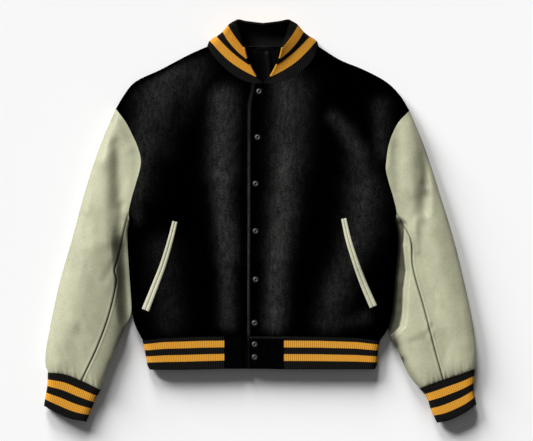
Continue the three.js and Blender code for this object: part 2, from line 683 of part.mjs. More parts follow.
// across runs from -1 at the right front end to 1 at the left one, up from 0 at the seam to 1
function collarSurface(across, up) {
  const paths = across < 0 ? PATHS.right : PATHS.left;
  const at = 1 - Math.abs(across);
  const next = clamp(COLLAR.heights.findIndex((height) => height >= up), 1, COLLAR.heights.length - 1);
  const edge = (place) => {
    if (place === 0) return collarSeam(paths, at);
    const point = collarEdges[place - 1](at);
    return new THREE.Vector3(COLLAR.x + paths.side * point.x, point.y, Math.max(point.z, 0));
  };
  const [low, high] = [COLLAR.heights[next - 1], COLLAR.heights[next]];
  return edge(next - 1).lerp(edge(next), (up - low) / (high - low));
}

const resting = (height) => 1 - smoothstep(height, 0.5, 5);
wall({
  name: 'collar',
  finish: FINISH.knit,
  surface: (u, v) => collarSurface(2 * u - 1, v),
  us: ribShares(COLLAR.ribs),
  vs: COLLAR.heights,
  thickness: WALL.knit,
  looks: [0.12, 0.3, 1],
  seamHalf: COLLAR.seamHalf,
  rise: (u, v, i, j, point) => (i % 2 ? RIB_RISE * (1 - resting(point.z)) : 0),
});

// What lies on a panel starts from the panel's own outer face
const ray = new THREE.Raycaster();
function onPanel(mesh, x, y) {
  ray.set(new THREE.Vector3(x, y, 200), new THREE.Vector3(0, 0, -1));
  mesh.updateMatrixWorld();
  const [hit] = ray.intersectObject(mesh);
  return { point: hit.point, normal: hit.face.normal.clone() };
}

// Snap caps: shallow domes with a dished middle
const SNAP_PROFILE = [[0, 0], [0.96, 0], [1, 0.3], [0.62, 1], [0, 0.82]];
SNAP_PLACES.forEach(({ x, y }, i) => {
  const panel = y < hemY(x) ? tabs.left : fronts.left;
  const { point, normal } = onPanel(panel, x, y);
  const profile = SNAP_PROFILE.map(([out, up]) => new THREE.Vector2(out * SNAPS.radius, up * SNAPS.height));
  const dome = new THREE.LatheGeometry(profile, SNAPS.sides).rotateX(Math.PI / 2);
  const snap = new THREE.Mesh(dome, FINISH.snap);
  snap.name = `snap_${i + 1}`;
  snap.quaternion.setFromUnitVectors(new THREE.Vector3(0, 0, 1), normal);
  snap.position.copy(point).addScaledVector(normal, SNAPS.lift);
  jacket.add(snap);
});

// Pocket welts: two leather strips side by side over each pocket mouth, low at their outer sides
const WELT_SECTION = table('across up', [[0, 0], [0, 0.55], [0.3, 1], [0.72, 1], [1, 0.4], [1, 0]]);
for (const [half, rows] of Object.entries(POCKET_LINES)) {
  const line = smooth(rows);
  for (const [edge, side] of [['inner', -PATHS[half].side], ['outer', PATHS[half].side]]) {
    const rings = Array.from({ length: POCKET.steps + 1 }, (_, i) => {
      const share = i / POCKET.steps;
      const middle = line(share);
      const along = line(Math.min(share + 0.01, 1)).sub(line(Math.max(share - 0.01, 0))).normalize();
      const out = new THREE.Vector3(-along.y, along.x, 0);
      out.multiplyScalar(Math.sign(out.x) * side);
      const width = lerp(POCKET.topWidth, POCKET.endWidth, share) / 2 - POCKET.groove / 2;
      return WELT_SECTION.map(({ across, up }) => {
        const place = middle.clone().addScaledVector(out, POCKET.groove / 2 + across * width);
        const { point, normal } = onPanel(fronts[half], place.x, place.y);
        return point.addScaledVector(normal, POCKET.lift + up * POCKET.thick);
      });
    });
    const sides = WELT_SECTION.length;
    const faces = [];
    for (let i = 0; i < POCKET.steps; i += 1) {
      for (let j = 0; j < sides; j += 1) {
        const [a, b] = [i * sides + j, i * sides + ((j + 1) % sides)];
        faces.push(a, a + sides, b + sides, a, b + sides, b);
      }
    }
    for (let j = 1; j < sides - 1; j += 1) {
      const end = POCKET.steps * sides;
      faces.push(0, j, j + 1, end, end + j + 1, end + j);
    }
    solid(`welt_${half}_${edge}`, FINISH.leather, rings.flat(), faces);
  }
}

// Lining inside the back, as far as it shows through the neck, and the loop sewn at the neck seam
wall({
  name: 'back_lining',
  finish: FINISH.lining,
  surface: (u, v) => new THREE.Vector3(
    lerp(LINING.right, LINING.left, u),
    lerp(LINING.bottom, LINING.top, v),
    WALL.wool + LINING.lift + WALL.lining,
  ),
  us: shares(LINING.left - LINING.right, [0], LINING.step, [0]),
  vs: shares(LINING.top - LINING.bottom, [0], LINING.step, [0]),
  thickness: WALL.lining,
  looks: [0.5, 0.5, 1],
});
{
  const strip = new THREE.Mesh(new THREE.BoxGeometry(LOOP.width, LOOP.height, LOOP.thick), FINISH.knit);
  strip.name = 'hanger_loop';
  strip.position.set(LOOP.x, LOOP.y, WALL.knit + LOOP.lift + LOOP.thick / 2);
  jacket.add(strip);
}

export default jacket;
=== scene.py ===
# %% [markdown]
# # A varsity jacket, laid flat
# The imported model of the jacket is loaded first. It is the frame: it says where each part is, in metres.
# Every cloth part is then made again as finer cloth over its plain solid, from the same measurements,
# so that it can carry folds, ribs, stitches and a finish of its own.

# %% Load the frame
import math
import bmesh
import bpy
import numpy as np
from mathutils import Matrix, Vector
from mathutils.kdtree import KDTree


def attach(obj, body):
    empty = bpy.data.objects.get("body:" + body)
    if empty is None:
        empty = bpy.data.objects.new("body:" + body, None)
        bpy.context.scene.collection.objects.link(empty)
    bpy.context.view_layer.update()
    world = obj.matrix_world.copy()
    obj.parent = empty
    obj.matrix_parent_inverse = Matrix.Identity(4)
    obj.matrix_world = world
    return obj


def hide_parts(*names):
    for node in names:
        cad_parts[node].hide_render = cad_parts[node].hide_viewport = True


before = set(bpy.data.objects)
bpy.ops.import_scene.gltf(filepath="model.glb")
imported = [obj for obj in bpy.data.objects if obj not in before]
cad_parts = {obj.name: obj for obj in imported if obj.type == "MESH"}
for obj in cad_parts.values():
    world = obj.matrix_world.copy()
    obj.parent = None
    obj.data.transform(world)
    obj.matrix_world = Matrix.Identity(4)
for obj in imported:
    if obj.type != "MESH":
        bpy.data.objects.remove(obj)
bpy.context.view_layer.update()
MM = 0.001
print("frame:", len(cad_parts), "nodes")

# %% [markdown]
# ## Measurements
# All of them are in millimetres. "right" and "left" are the wearer's, so the right half lies at negative x.
# Each line of the pattern is a row of points, from the collar outwards and down.

# %% Lines of each half
HALF = {
    "right": {
        "shoulder": [(-108, 359), (-144, 343), (-203, 312), (-259, 284), (-282, 255), (-296, 231)],
        "armhole": [(-296, 231), (-275, 203), (-261, 176), (-250, 151), (-244, 126), (-246, 107),
                    (-253, 82), (-264, 44), (-269.5, 18), (-268, 0)],
        "body": [(-268, 0), (-271.5, -22), (-272, -50), (-269, -100), (-265.5, -150), (-262.5, -188),
                 (-256, -214), (-241, -244)],
        "neck": [(4, 283), (-14, 283), (-34, 288.5), (-59, 303), (-80, 321), (-98, 342), (-108, 359)],
        "rib": [(-241, -244), (-234, -276), (-230, -297), (-226, -304)],
        "hem": [(-241, -244), (-200, -239), (-120, -236), (0, -235)],
        "rib_end": [(-226, -304), (-150, -304), (-74, -302), (0, -302)],
        "sleeve_outer": [(-296, 231), (-326, 161), (-359, 63), (-389, -48), (-410, -120), (-435, -237),
                         (-440, -269), (-440, -294), (-435, -310)],
        "sleeve_inner": [(-268, 0), (-271.5, -22), (-272, -50), (-269, -100), (-265.5, -150), (-265, -188),
                         (-279, -221), (-299, -266), (-318, -315), (-328, -345)],
        "front_seam": [(-270, 16), (-279, -21), (-292, -79), (-298, -102), (-294, -118), (-308, -187),
                       (-333, -257), (-366, -327)],
        "cuff_top": [(-435, -310), (-400, -314), (-366, -327), (-328, -345)],
        "cuff_outer": [(-435, -310), (-436, -336), (-440, -359), (-443, -378)],
        "cuff_inner": [(-328, -345), (-340, -368), (-350, -393), (-357, -410)],
        "cuff_end": [(-443, -378), (-420, -391), (-390, -404), (-357, -410)],
    },
    "left": {
        "shoulder": [(119, 359), (164, 331), (210, 312), (260, 285), (287, 258), (306, 227)],
        "armhole": [(306, 227), (283, 203), (271, 180), (263, 157), (258, 124), (257, 107), (262, 84),
                    (273, 46), (279, 20), (278, 0)],
        "body": [(278, 0), (282, -22), (283, -50), (279, -95), (274.5, -150), (270.5, -188), (261, -221),
                 (245, -245)],
        "neck": [(8, 283), (26, 283), (48, 288), (77, 301.5), (98, 320), (112.5, 340), (119, 359)],
        "rib": [(245, -245), (241, -268), (239, -293), (235, -303)],
        "hem": [(245, -245), (200, -239), (120, -236), (0, -235)],
        "rib_end": [(235, -303), (150, -303), (49, -303), (0, -302)],
        "sleeve_outer": [(306, 227), (336, 155), (371, 48), (396, -34), (414, -106), (438, -220),
                         (442, -257), (442, -280), (440, -302)],
        "sleeve_inner": [(278, 0), (282, -22), (283, -50), (279, -95), (274.5, -150), (270.5, -188),
                         (263.5, -217), (271, -243), (285, -272), (306, -317), (327, -342)],
        "front_seam": [(280, 16), (296, -12), (309, -43), (312, -91), (336, -179), (360, -272), (375, -324)],
        "cuff_top": [(440, -302), (414, -312), (375, -325), (327, -342)],
        "cuff_outer": [(440, -302), (438, -321), (437, -348), (443, -375)],
        "cuff_inner": [(327, -342), (342, -360), (351, -386), (363, -412.6)],
        "cuff_end": [(443, -375), (420, -392), (387, -407.5), (363, -412.6)],
    },
}
SIDE = {"right": -1, "left": 1}

# %% Folds, as straight lines: from x, from y, to x, to y, how far it rises, how wide it is
FOLDS = [
    (-185, 306, -226, 208, 7, 34), (-226, 208, -240, 44, 5, 20), (-123, 337, -160, 224, -4, 16),
    (-160, 224, -232, 20, -4, 16), (-78, 249, -70, 44, 6, 24), (-70, 44, -62, -200, 5, 26),
    (-134, 160, -128, -190, -4, 24), (-201, -70, -190, -200, 4, 40), (50, 280, 56, 85, 5, 22),
    (56, 85, 32, -200, 4, 22), (98, 240, 108, -170, -4, 24), (133, 259, 212, 136, 6, 26),
    (212, 136, 219, 23, 7, 40), (219, 23, 150, -200, 5, 30), (246, 238, 250, 180, 5, 20),
    (222, 200, 234, 130, -4, 10), (-302, 205, -326, 124, 6, 20), (-326, 124, -325, -40, 4, 22),
    (-296, 157, -288, 30, -4, 12), (-352, -60, -372, -200, 4, 24), (297, 192, 300, 70, 5, 18),
    (338, 157, 334, 20, -5, 14), (352, -20, 392, -210, 4, 26),
]
WALL = {"wool": 2.5, "leather": 1.8, "knit": 3.8, "tab": 3.4, "lining": 1}
ROLL = {"edge": 11, "reach": 44, "under_reach": 15}
FULL = {"body": 22, "sleeve": 27}
RIB_ROLL = {"edge": 7.5, "reach": 17, "top": 16.5}
BLOUSE = 34
LAP = 0.8
PLACKET = {"x": -27, "under": 10, "curve": 8, "curve_from": 214}
TAB = {"inner": -74, "outer": 49}
print("measurements:", sum(len(rows) for half in HALF.values() for rows in half.values()), "points")

# %% [markdown]
# ## Lines and patches
# A pattern line is a smooth curve through its points. Blender's own curves could draw it, but here a plain
# function is handier: it takes a share of the line's length from 0 to 1 and gives a point, for thousands
# of shares at once. Four such lines round a panel give every point between them. That is a Coons patch.

# %% Curves and patches
def smooth(rows, steps=60):
    """A curve through rows, as a function of a share of its length."""
    points = np.array(rows, float)
    points = np.vstack([2 * points[0] - points[1], points, 2 * points[-1] - points[-2]])
    gaps = np.linalg.norm(np.diff(points, axis=0), axis=1) ** 0.5
    t = np.linspace(0, 1, steps, endpoint=False)[:, None]
    drawn = []
    for i in range(1, len(points) - 2):
        before, here, there, after = points[i - 1:i + 3]
        first, middle, last = gaps[i - 1:i + 2]
        leave = (here - before) / first - (there - before) / (first + middle) + (there - here) / middle
        arrive = (there - here) / middle - (after - here) / (middle + last) + (after - there) / last
        leave, arrive = leave * middle, arrive * middle
        drawn.append(here + leave * t + (3 * (there - here) - 2 * leave - arrive) * t ** 2
                     + (2 * (here - there) + leave + arrive) * t ** 3)
    line = np.vstack(drawn + [points[-2:-1]])
    along = np.concatenate([[0], np.cumsum(np.linalg.norm(np.diff(line, axis=0), axis=1))])
    along /= along[-1]
    return lambda share: np.stack([np.interp(share, along, line[:, k]) for k in range(2)], -1)


def backwards(path):
    return lambda share: path(1 - share)


def straight(start, end):
    start, end = np.array(start, float), np.array(end, float)
    return lambda share: start + np.asarray(share, float)[..., None] * (end - start)


def chain(first, second, split):
    """The first path as far as the share split, and then the second."""
    def path(share):
        early = np.asarray(share)[..., None] < split
        return np.where(early, first(share / split), second((share - split) / (1 - split)))
    return path


def stretch(path, start, end):
    return lambda share: path(start + share * (end - start))


def patch(low, high, near, far):
    """Between four paths: low and high run along u, near and far along v."""
    ends = [low(0.0), low(1.0), high(0.0), high(1.0)]

    def plan(u, v):
        p, q = u[..., None], v[..., None]
        return (low(u) * (1 - q) + high(u) * q + near(v) * (1 - p) + far(v) * p
                - ends[0] * (1 - p) * (1 - q) - ends[1] * p * (1 - q) - ends[2] * (1 - p) * q - ends[3] * p * q)
    return plan


LINES = {half: {name: smooth(rows) for name, rows in table.items()} for half, table in HALF.items()}
print("lines:", sum(len(lines) for lines in LINES.values()))


# %% Heights along x, and paths that follow them
def lerp(a, b, share):
    return a + (b - a) * share


def ease(x, low, high):
    """0 below low, 1 above high, and a smooth step between."""
    share = np.clip((x - low) / (high - low), 0, 1)
    return share * share * (3 - 2 * share)


def height_of(name):
    rows = sorted(HALF["right"][name] + HALF["left"][name][:-1])
    return lambda x: np.interp(x, [row[0] for row in rows], [row[1] for row in rows])


hem_y, rib_end_y = height_of("hem"), height_of("rib_end")


def along_x(height, start, end):
    def path(share):
        x = lerp(start, end, np.asarray(share, float))
        return np.stack([x, height(x)], -1)
    return path


# %% [markdown]
# ## The two sheets
# Laid flat, the jacket is an upper and a lower sheet that meet in a roll along the shoulders, the sides and
# the sleeves' edges. A point's height depends on how far it is from the nearest rolled edge: it climbs
# like a quarter of an ellipse and levels off. Folds are low ridges and hollows added along lines.

# %% Distance to lines
def pieces_of(path, count):
    points = path(np.linspace(0, 1, count + 1))
    return np.hstack([points[:-1], points[1:]])


def piece_distance(pieces, spots):
    """Distance from each spot to its own short straight piece."""
    start, run = pieces[:, :2], pieces[:, 2:] - pieces[:, :2]
    share = np.clip(((spots - start) * run).sum(1) / (run ** 2).sum(1), 0, 1)
    return np.hypot(*(spots - start - share[:, None] * run).T)


def distance_from(lines):
    """A function that gives the distance from points to the nearest of many short pieces. A tree of the
    pieces' middles finds the nearest one, and its two neighbours are tried as well."""
    tree = KDTree(len(lines))
    for i, (x1, y1, x2, y2) in enumerate(lines):
        tree.insert(((x1 + x2) / 2, (y1 + y2) / 2, 0), i)
    tree.balance()

    def distance(x, y):
        spots = np.stack([np.ravel(x), np.ravel(y)], -1)
        nearest = np.array([tree.find((a, b, 0))[1] for a, b in spots.tolist()])
        tries = [piece_distance(lines[np.clip(nearest + k, 0, len(lines) - 1)], spots) for k in (-1, 0, 1)]
        return np.minimum.reduce(tries).reshape(np.shape(x))
    return distance


ROLLED = ("shoulder", "body", "rib", "sleeve_outer", "sleeve_inner", "cuff_outer", "cuff_inner")
EDGES = np.vstack([pieces_of(lines[name], 60) for lines in LINES.values() for name in ROLLED])
from_edges = distance_from(EDGES)
from_hem = distance_from(pieces_of(along_x(hem_y, -241, 245), 60))
from_cuffs = distance_from(np.vstack([pieces_of(lines["cuff_top"], 30) for lines in LINES.values()]))
from_sides = distance_from(np.vstack([pieces_of(lines["body"], 60) for lines in LINES.values()]))
from_seams = distance_from(np.vstack([pieces_of(lines["front_seam"], 90) for lines in LINES.values()]))
print("edges:", len(EDGES), "pieces")


# %% Heights of the upper and the lower sheet
def swell(share):
    return np.sqrt(1 - (1 - np.clip(share, 0, 1)) ** 2)


def ridges(rows, x, y):
    """The sum of low ridges along straight lines, each with a bell-shaped section."""
    spots = np.stack([np.ravel(x), np.ravel(y)], -1)
    total = np.zeros(len(spots))
    for *line, rise, width in rows:
        total += rise * np.exp(-(piece_distance(np.array([line], float), spots) / width) ** 2)
    return total.reshape(np.shape(x))


def upper_height(x, y, clear_of_rib):
    full = lerp(FULL["body"], FULL["sleeve"], ease(np.abs(x), 240, 330)) + ridges(FOLDS, x, y)
    top = lerp(RIB_ROLL["top"], full, swell(clear_of_rib))
    edge = lerp(RIB_ROLL["edge"], ROLL["edge"], clear_of_rib)
    reach = lerp(RIB_ROLL["reach"], ROLL["reach"], clear_of_rib)
    return lerp(edge, top, swell(from_edges(x, y) / reach))


def lower_height(x, y, clear_of_rib):
    edge = lerp(RIB_ROLL["edge"], ROLL["edge"], clear_of_rib)
    return edge * (1 - swell(from_edges(x, y) / ROLL["under_reach"]))


def clear_of_hem(x, y):
    return np.clip(from_hem(x, y) / BLOUSE, 0, 1)


def clear_of_cuffs(x, y):
    return np.clip(from_cuffs(x, y) / BLOUSE, 0, 1)


def on_rib(x, y):
    return np.zeros_like(x)


def raised(plan, height, clear):
    def surface(u, v):
        x, y = np.moveaxis(plan(u, v), -1, 0)
        return np.stack([x, y, height(x, y, clear(x, y))], -1)
    return surface


# %% [markdown]
# ## Small folds
# Leather creases and wool ripples are too many to list one by one. They are drawn from a fixed seed, so each
# run gives the same ones. Where cloth is gathered into a rib it puckers, in short waves that die away.

# %% Creases and puckers
def scattered(seed, count, spine, spread, slope, rise, width, length):
    """Random short ridges round a line. slope is how far they turn from that line, in radians."""
    draw = np.random.default_rng(seed)
    path = smooth(spine)
    rows = []
    for share in draw.uniform(0, 1, count):
        middle = path(share) + draw.normal(0, spread, 2)
        ahead = path(min(share + 0.02, 1)) - path(max(share - 0.02, 0))
        turn = math.atan2(ahead[1], ahead[0]) + draw.normal(0, slope)
        half = draw.uniform(*length) / 2 * np.array([math.cos(turn), math.sin(turn)])
        rows.append((*(middle - half), *(middle + half), draw.uniform(*rise), draw.uniform(*width)))
    return rows


CREASES = {
    "right": scattered(11, 34, [(-300, 190), (-330, 40), (-350, -130), (-388, -300)], 18, 0.45,
                       (-0.8, 0.7), (5, 12), (30, 100)),
    "left": scattered(12, 34, [(300, 190), (330, 40), (350, -130), (388, -300)], 18, 0.45,
                      (-0.8, 0.7), (5, 12), (30, 100)),
    "body": scattered(13, 40, [(-190, 150), (-60, 20), (80, 20), (200, 120)], 90, 1.2,
                      (-0.7, 0.7), (8, 18), (60, 160)),
}
SLEEVE_FOLDS = {
    "right": [(-345, 95, -352, 20, 1.6, 7), (-283, 34, -291, -20, -2, 8), (-300, -88, -318, -120, -1.6, 9),
              (-370, -215, -352, -262, -0.8, 7), (-366, -190, -345, -240, 0.8, 8), (-306, 215, -268, 150, 2.4, 10),
              (-262, 150, -266, 60, 1.0, 9), (-311, 150, -313, -40, 2.2, 13), (-290, 150, -288, 40, -1.0, 12)],
    "left": [(278, 150, 280, 60, -1.8, 9), (268, 170, 262, 110, 1.6, 8), (318, 0, 321, -60, 1.8, 7),
             (352, -214, 341, -232, -0.6, 5), (356, -224, 346, -244, 0.5, 5), (346, -206, 338, -222, 0.5, 5),
             (310, -246, 332, -236, -0.8, 8), (296, -40, 290, -100, -1.6, 8), (386, 60, 402, -30, 1.6, 12),
             (418, -180, 424, -250, 1.5, 14), (314, 200, 316, 60, 3.4, 14), (340, 160, 339, 80, -4, 10),
             (339, 70, 336, 30, -2, 11), (332, -5, 318, -50, -1.6, 11), (352, 130, 352, 20, 2, 9)],
}


def puckers(distance, x, y, rise, reach):
    near = np.exp(-distance(x, y) / reach)
    return rise * near * (np.sin(x / 2.3 + 2 * np.sin(x / 19)) + 0.6 * np.sin(x / 1.37 + y / 9))


def body_detail(x, y):
    return ridges(CREASES["body"], x, y) + puckers(from_hem, x, y, 0.45, 13)


def seam_groove(x, y):
    """A seam pulls the leather down, and the turned-in edges beside it lift it."""
    away = from_seams(x, y)
    return (0.7 * np.exp(-((away - 4) / 2.2) ** 2) - 2.2 * np.exp(-(away / 1.5) ** 2)) * ease(-y, -30, 10)


def sleeve_detail(half, x, y):
    return (ridges(CREASES[half] + SLEEVE_FOLDS[half], x, y) + seam_groove(x, y)
            + puckers(from_cuffs, x, y, 0.6, 12))


TUCK = {"edge": 5.5, "from": 6, "to": 34}
# How wide the gap beside the body is, along y. On the left sleeve the body's painted shadow fills the same band.
GAP_AT = [-250, -216, -140, -101, -50, -5, 13]
GAP_AND_SHADOW_WIDTH = [6, 22, 18, 20, 10, 15, 5]


def beside_body(x, y, soft, hard):
    """1 right beside the body and 0 further out. The left sleeve has a crisp, wavy gap there, where the body's
    shadow is also painted on its leather, and on the right one it fades slowly. soft is how far the right one's
    fade runs, and hard the left one's, to either side."""
    away, gap = from_sides(x, y), np.interp(y, GAP_AT, GAP_AND_SHADOW_WIDTH)
    return np.where(x > 0, (1 - ease(away, gap - hard[0], gap + hard[1])) * ease(-y, -10, 6) * ease(y, -246, -236),
                    (1 - ease(away, *soft)) * ease(-y, 4, 60) * ease(y, -240, -200))


def tucked(surface):
    """A sleeve slips in beside the body: its inner edge lies low there, and then it climbs."""
    def lower(u, v):
        point = surface(u, v)
        x, y, z = np.moveaxis(point, -1, 0)
        near = beside_body(x, y, (TUCK["from"], TUCK["to"]), (1, 10))
        point[..., 2] = z * lerp(1, TUCK["edge"] / ROLL["edge"], near) - near * (z > ROLL["edge"]) * (
            (z - ROLL["edge"]) * TUCK["edge"] / ROLL["edge"])
        return point
    return lower


def detailed(surface, detail):
    """The surface with small folds that die away at the rolled edges."""
    def finer(u, v):
        point = surface(u, v)
        x, y = point[..., 0], point[..., 1]
        keep = np.clip(from_edges(x, y) / 14, 0, 1)
        point[..., 2] += detail(x, y) * keep
        return point
    return finer


# %% [markdown]
# ## From a grid to a panel
# Each panel starts as Blender's own grid. Every point of the grid has a share u and v, which the panel's
# surface turns into a place. A Solidify modifier then gives the cloth its thickness on the inner side, and
# a Bevel rounds its cut edges, so two panels meet in a small groove, as at a real seam.

# %% Shares along a grid, closer together near rolled edges
def shares(count, start=False, end=False, reach=0.09, closeness=0.82):
    middle = (np.arange(count) + 0.5) / count
    step = 1 - closeness * (start * np.exp(-middle / reach) + end * np.exp(-(1 - middle) / reach))
    line = np.concatenate([[0], np.cumsum(step)])
    return line / line[-1]


def joined(first, second, split):
    return np.concatenate([first * split, split + second[1:] * (1 - split)])


# %% Make a panel
SHARP_EDGE = 50  # degrees, past which an edge is rounded


def panel(name, slot, finish, surface, us, vs, thickness, looks, size, ring=False, values=None,
          bevel=0.7, spread=None):
    """size is the cloth's own width and length in millimetres, for its UV map. looks is a place on it, u
    and v, with 1 where its outer face looks up there and -1 where down. spread turns v into a share of
    the length, where the two differ."""
    grid = bmesh.new()
    bmesh.ops.create_grid(grid, x_segments=len(us) - 1, y_segments=len(vs) - 1, size=1)
    corners = np.array([vert.co[:2] for vert in grid.verts])
    column = np.rint((corners[:, 0] + 1) / 2 * (len(us) - 1)).astype(int)
    row = np.rint((corners[:, 1] + 1) / 2 * (len(vs) - 1)).astype(int)
    u, v = us[column], vs[row]
    places = surface(u, v)
    for vert, place in zip(grid.verts, places * MM):
        vert.co = place
    grid.verts.index_update()
    layer = grid.loops.layers.uv.new("cloth")
    length = spread(v) if spread else v
    for face in grid.faces:
        for loop in face.loops:
            i = loop.vert.index
            loop[layer].uv = (u[i] * size[0] * MM, length[i] * size[1] * MM)
    if values:
        for key, found in values(u, v, places).items():
            kept = grid.verts.layers.float.new(key)
            for vert, value in zip(grid.verts, found):
                vert[kept] = float(value)
    target = int(np.argmin((u - looks[0]) ** 2 + (v - looks[1]) ** 2))
    grid.verts.ensure_lookup_table()
    grid.normal_update()
    turned = grid.verts[target].normal.z * looks[2] < 0
    if turned:
        bmesh.ops.reverse_faces(grid, faces=grid.faces)
    if ring:
        bmesh.ops.remove_doubles(grid, verts=grid.verts, dist=0.02 * MM)
    area = sum(face.calc_area() for face in grid.faces)
    mesh = bpy.data.meshes.new(name)
    grid.to_mesh(mesh)
    grid.free()
    mesh.shade_smooth()
    piece = bpy.data.objects.new(name, mesh)
    bpy.context.scene.collection.objects.link(piece)
    mesh.materials.append(finish)
    wall = piece.modifiers.new("thickness", "SOLIDIFY")
    wall.thickness, wall.offset = thickness * MM, -1
    wall.use_even_offset = False
    if bevel:
        rounding = piece.modifiers.new("rounding", "BEVEL")
        rounding.width, rounding.segments = bevel * MM, 2
        rounding.limit_method, rounding.angle_limit = "ANGLE", math.radians(SHARP_EDGE)
        rounding.harden_normals = False
    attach(piece, "root")
    print(f"{name}: {len(us)} by {len(vs)} points, {area * 1e4:.0f} cm2")
    return piece, area


def cloth(name, flat, rests_on, shaped=True, **how):
    """A panel that replaces its solid. flat, the size its cloth was cut to in metres, is not used.
    shaped, whether the piece covers only a part of that rectangle or is laid and not stretched so that its cut
    has its own area, is not used either."""
    piece, area = panel(name, **how)
    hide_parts(name.replace("cloth_", ""))
    return piece


# %% [markdown]
# ## Materials
# Each finish is made of nodes. To keep their maths readable, a socket is wrapped in a small class, so that
# plus, minus, times and the rest can be written as in Python, and each one adds its Math node.

# %% Shader maths in Python
class Wire:
    """A socket of a finish, with Python's operators."""

    def __init__(self, finish, socket):
        self.finish, self.socket = finish, socket

    def maths(self, operation, *others, swap=False):
        values = (self, *others)
        return self.finish.node("ShaderNodeMath", {"operation": operation}, *(values[::-1] if swap else values))

    def __add__(self, other):
        return self.maths("ADD", other)

    def __sub__(self, other):
        return self.maths("SUBTRACT", other)

    def __rsub__(self, other):
        return self.maths("SUBTRACT", other, swap=True)

    def __mul__(self, other):
        return self.maths("MULTIPLY", other)

    def __truediv__(self, other):
        return self.maths("DIVIDE", other)

    def __pow__(self, other):
        return self.maths("POWER", other)

    __radd__, __rmul__ = __add__, __mul__

    def wave(self):
        return self.maths("SINE")

    def size(self):
        return self.maths("ABSOLUTE")

    def fraction(self):
        return self.maths("FRACT")

    def clamped(self):
        return self.maths("MAXIMUM", 0.0).maths("MINIMUM", 1.0)

    def step(self, low, high):
        """0 below low, 1 above high, with a smooth step between."""
        smooth_step = {"interpolation_type": "SMOOTHSTEP"}
        return self.finish.node("ShaderNodeMapRange", smooth_step, self, low, high, 0.0, 1.0)


class Finish:
    """A material. node() adds a node: its type, its settings, and the values or wires of its sockets."""

    def __init__(self, name, **constants):
        self.material = bpy.data.materials.new(name)
        self.material.use_nodes = True
        self.tree = self.material.node_tree
        self.shader = self.tree.nodes["Principled BSDF"]
        for socket, value in constants.items():
            self.shader.inputs[socket.replace("_", " ")].default_value = value

    def node(self, kind, settings=None, *values, output=0, **named):
        made = self.tree.nodes.new(kind)
        for key, value in (settings or {}).items():
            setattr(made, key, value)
        fields = list(enumerate(values)) + [(key.replace("_", " "), value) for key, value in named.items()]
        for key, value in fields:
            self.put(made.inputs[key], value)
        return Wire(self, made.outputs[output])

    def put(self, socket, value):
        if isinstance(value, Wire):
            self.tree.links.new(value.socket, socket)
        else:
            socket.default_value = value

    def place(self, scale=(1, 1, 1)):
        """Object coordinates, stretched by scale."""
        here = self.node("ShaderNodeTexCoord", None, output="Object")
        return self.node("ShaderNodeMapping", None, here, Scale=scale)

    def noise(self, scale, detail=3.0, roughness=0.5, stretch=(1, 1, 1)):
        return self.node("ShaderNodeTexNoise", None, Vector=self.place(stretch), Scale=scale, Detail=detail,
                         Roughness=roughness)

    def attribute(self, name):
        return self.node("ShaderNodeAttribute", {"attribute_name": name}, output="Fac")

    def along(self, axis):
        """The cloth's own u (0) or v (1), in metres."""
        spot = self.node("ShaderNodeUVMap", {"uv_map": "cloth"})
        return self.node("ShaderNodeSeparateXYZ", None, spot, output=axis)

    def mix(self, share, low, high):
        made = self.tree.nodes.new("ShaderNodeMix")
        made.data_type = "RGBA"
        for key, value in (("Factor_Float", share), ("A_Color", low), ("B_Color", high)):
            socket = next(s for s in made.inputs if s.identifier == key)
            self.put(socket, value)
        return Wire(self, next(s for s in made.outputs if s.identifier == "Result_Color"))

    def bump(self, height, distance, strength=1.0):
        wire = self.node("ShaderNodeBump", None, Height=height, Distance=distance, Strength=strength)
        self.set(Normal=wire)

    def set(self, **wires):
        for key, value in wires.items():
            self.put(self.shader.inputs[key.replace("_", " ")], value)


# %% [markdown]
# ### Melton wool
# Melton is woven, then felted and brushed until the weave can't be seen. It is nearly black, with a soft nap.
# A number at each point of the cloth gives the nap's faint even grey, and on the fronts the light on the fold
# ridges, painted into the colour. It is mixed with a fine fuzz that is longer up and down than across.
# A second number paints a highlight along the lapped front edge and the tab's edges.

# %% Wool
def wool_finish(name, deep, nap_colour):
    wool = Finish(name, Roughness=1.0, Specular_IOR_Level=0.0)
    fuzz = wool.noise(430, 3, 0.75, (1, 0.75, 1))
    streak = wool.noise(150, 3, 0.6, (1, 0.35, 1))
    cloud = wool.noise(30, 2)
    # The nap number holds the nap's faint even grey on the back and tabs. On the fronts it holds painted light on the
    # fold ridges that face the light, and the hairs on those ridges glint. Both go into the base colour.
    nap = wool.attribute("nap")
    grain = fuzz.step(0.3, 0.72) * 0.75 + streak.step(0.3, 0.75) * 0.5
    light = nap * (0.06 + 1.08 * grain) * (0.45 + 1.1 * cloud) * 0.41
    lit_hair_glints = fuzz.step(0.6, 0.78) * nap.step(0.02, 0.35) * 0.12
    # Painted highlight: the edge number paints a pale line along the front's lapped edge and the tab's edges.
    turned = wool.attribute("edge") * (0.5 + grain) * (0.6 + 0.8 * cloud)
    wool.set(Base_Color=wool.mix((light + lit_hair_glints + turned).clamped(), deep, nap_colour))
    wool.bump(fuzz + 0.6 * streak, 0.0009, 0.7)
    return wool.material


WOOL = wool_finish("melton_wool", (0.00015, 0.00015, 0.00015, 1), (0.11, 0.107, 0.105, 1))
